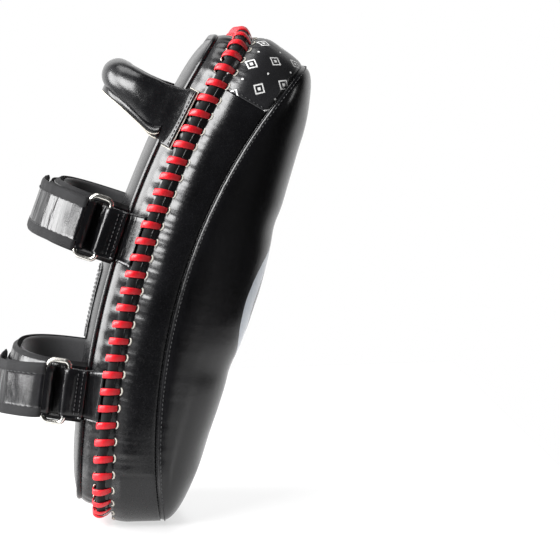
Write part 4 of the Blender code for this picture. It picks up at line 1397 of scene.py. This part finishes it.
world = bpy.data.worlds.new("studio")
bpy.context.scene.world = world
world.use_nodes = True
wt = world.node_tree
wt.nodes.clear()
w_out = wt.nodes.new("ShaderNodeOutputWorld")
w_bg = wt.nodes.new("ShaderNodeBackground")
wt.links.new(w_bg.outputs[0], w_out.inputs[0])
w_dir = wt.nodes.new("ShaderNodeTexCoord").outputs["Generated"]


def toward(vec, lo, hi, a, b_):
    """Brightness a to b_ as a direction turns from lo to hi along vec."""
    dp = wt.nodes.new("ShaderNodeVectorMath")
    dp.operation = 'DOT_PRODUCT'
    dp.inputs[1].default_value = vec
    wt.links.new(w_dir, dp.inputs[0])
    mr = wt.nodes.new("ShaderNodeMapRange")
    mr.interpolation_type = 'SMOOTHSTEP'
    mr.inputs["From Min"].default_value = lo
    mr.inputs["From Max"].default_value = hi
    mr.inputs["To Min"].default_value = a
    mr.inputs["To Max"].default_value = b_
    wt.links.new(dp.outputs["Value"], mr.inputs["Value"])
    return mr.outputs[0]


backdrop = toward((0.994, -0.11, 0.0), 0.5, 0.85, 0.0, 1.0)
left_fill = toward((0.05, 0.97, 0.24), 0.45, 0.85, 0.0, 0.6)
front_fill = toward((-0.5, -0.86, 0.05), 0.72, 0.97, 0.0, 0.07)
glow = math_node(wt, 'ADD', math_node(wt, 'ADD', backdrop, left_fill), math_node(wt, 'ADD', front_fill, 0.02))
path_n = wt.nodes.new("ShaderNodeLightPath")
lvl = wt.nodes.new("ShaderNodeMix")
lvl.data_type = 'FLOAT'
wt.links.new(path_n.outputs["Is Camera Ray"], lvl.inputs[0])
wt.links.new(glow, lvl.inputs[2])
lvl.inputs[3].default_value = 1.0
wt.links.new(lvl.outputs[0], w_bg.inputs["Strength"])
w_bg.inputs["Color"].default_value = (1, 1, 1, 1)


def area(name, loc, target, size, power, size_y=None):
    li = bpy.data.lights.new(name, 'AREA')
    li.energy = power
    li.size = size
    if size_y:
        li.shape = 'RECTANGLE'
        li.size_y = size_y
    ob = bpy.data.objects.new(name, li)
    ob.location = loc
    ob.rotation_euler = (Vector(target) - Vector(loc)).to_track_quat('-Z', 'Y').to_euler()
    bpy.context.scene.collection.objects.link(ob)
    return ob


area("left_softbox", (-0.85, 1.02, 0.92), (0, 0, 0.2), 1.1, 52, 0.8)
area("rear_softbox", (0.15, 1.6, 0.7), (0, 0, 0.2), 1.2, 50, 1.1)
area("top_softbox", (0.1, 0.25, 1.7), (0, 0, 0.2), 0.8, 9)
area("front_strip", (-0.35, -1.6, 0.5), (0, 0, 0.2), 0.2, 3.0, 0.9)

CAM_AZ, CAM_EL, CAM_DIST, CAM_F = -93.798, 6.0, 1.8, 2286.524
CAM_AT, CAM_ROLL = (0.0, -0.117982, 0.178262), -1.259
az, el = math.radians(CAM_AZ), math.radians(CAM_EL)
fwd = -Vector((math.sin(az) * math.cos(el), -math.cos(az) * math.cos(el), math.sin(el)))
cam = bpy.data.cameras.new("camera")
cam.sensor_fit = 'HORIZONTAL'
cam.sensor_width = 36.0
cam.lens = CAM_F / 560.0 * 36.0
cam.clip_end = 50
cob = bpy.data.objects.new("camera", cam)
bpy.context.scene.collection.objects.link(cob)
cob.location = Vector(CAM_AT) - fwd * CAM_DIST
q = fwd.to_track_quat('-Z', 'Y')
from mathutils import Quaternion
cob.rotation_mode = 'QUATERNION'
cob.rotation_quaternion = Quaternion(fwd, -math.radians(CAM_ROLL)) @ q
bpy.context.scene.camera = cob

bpy.context.scene.view_settings.view_transform = 'Standard'
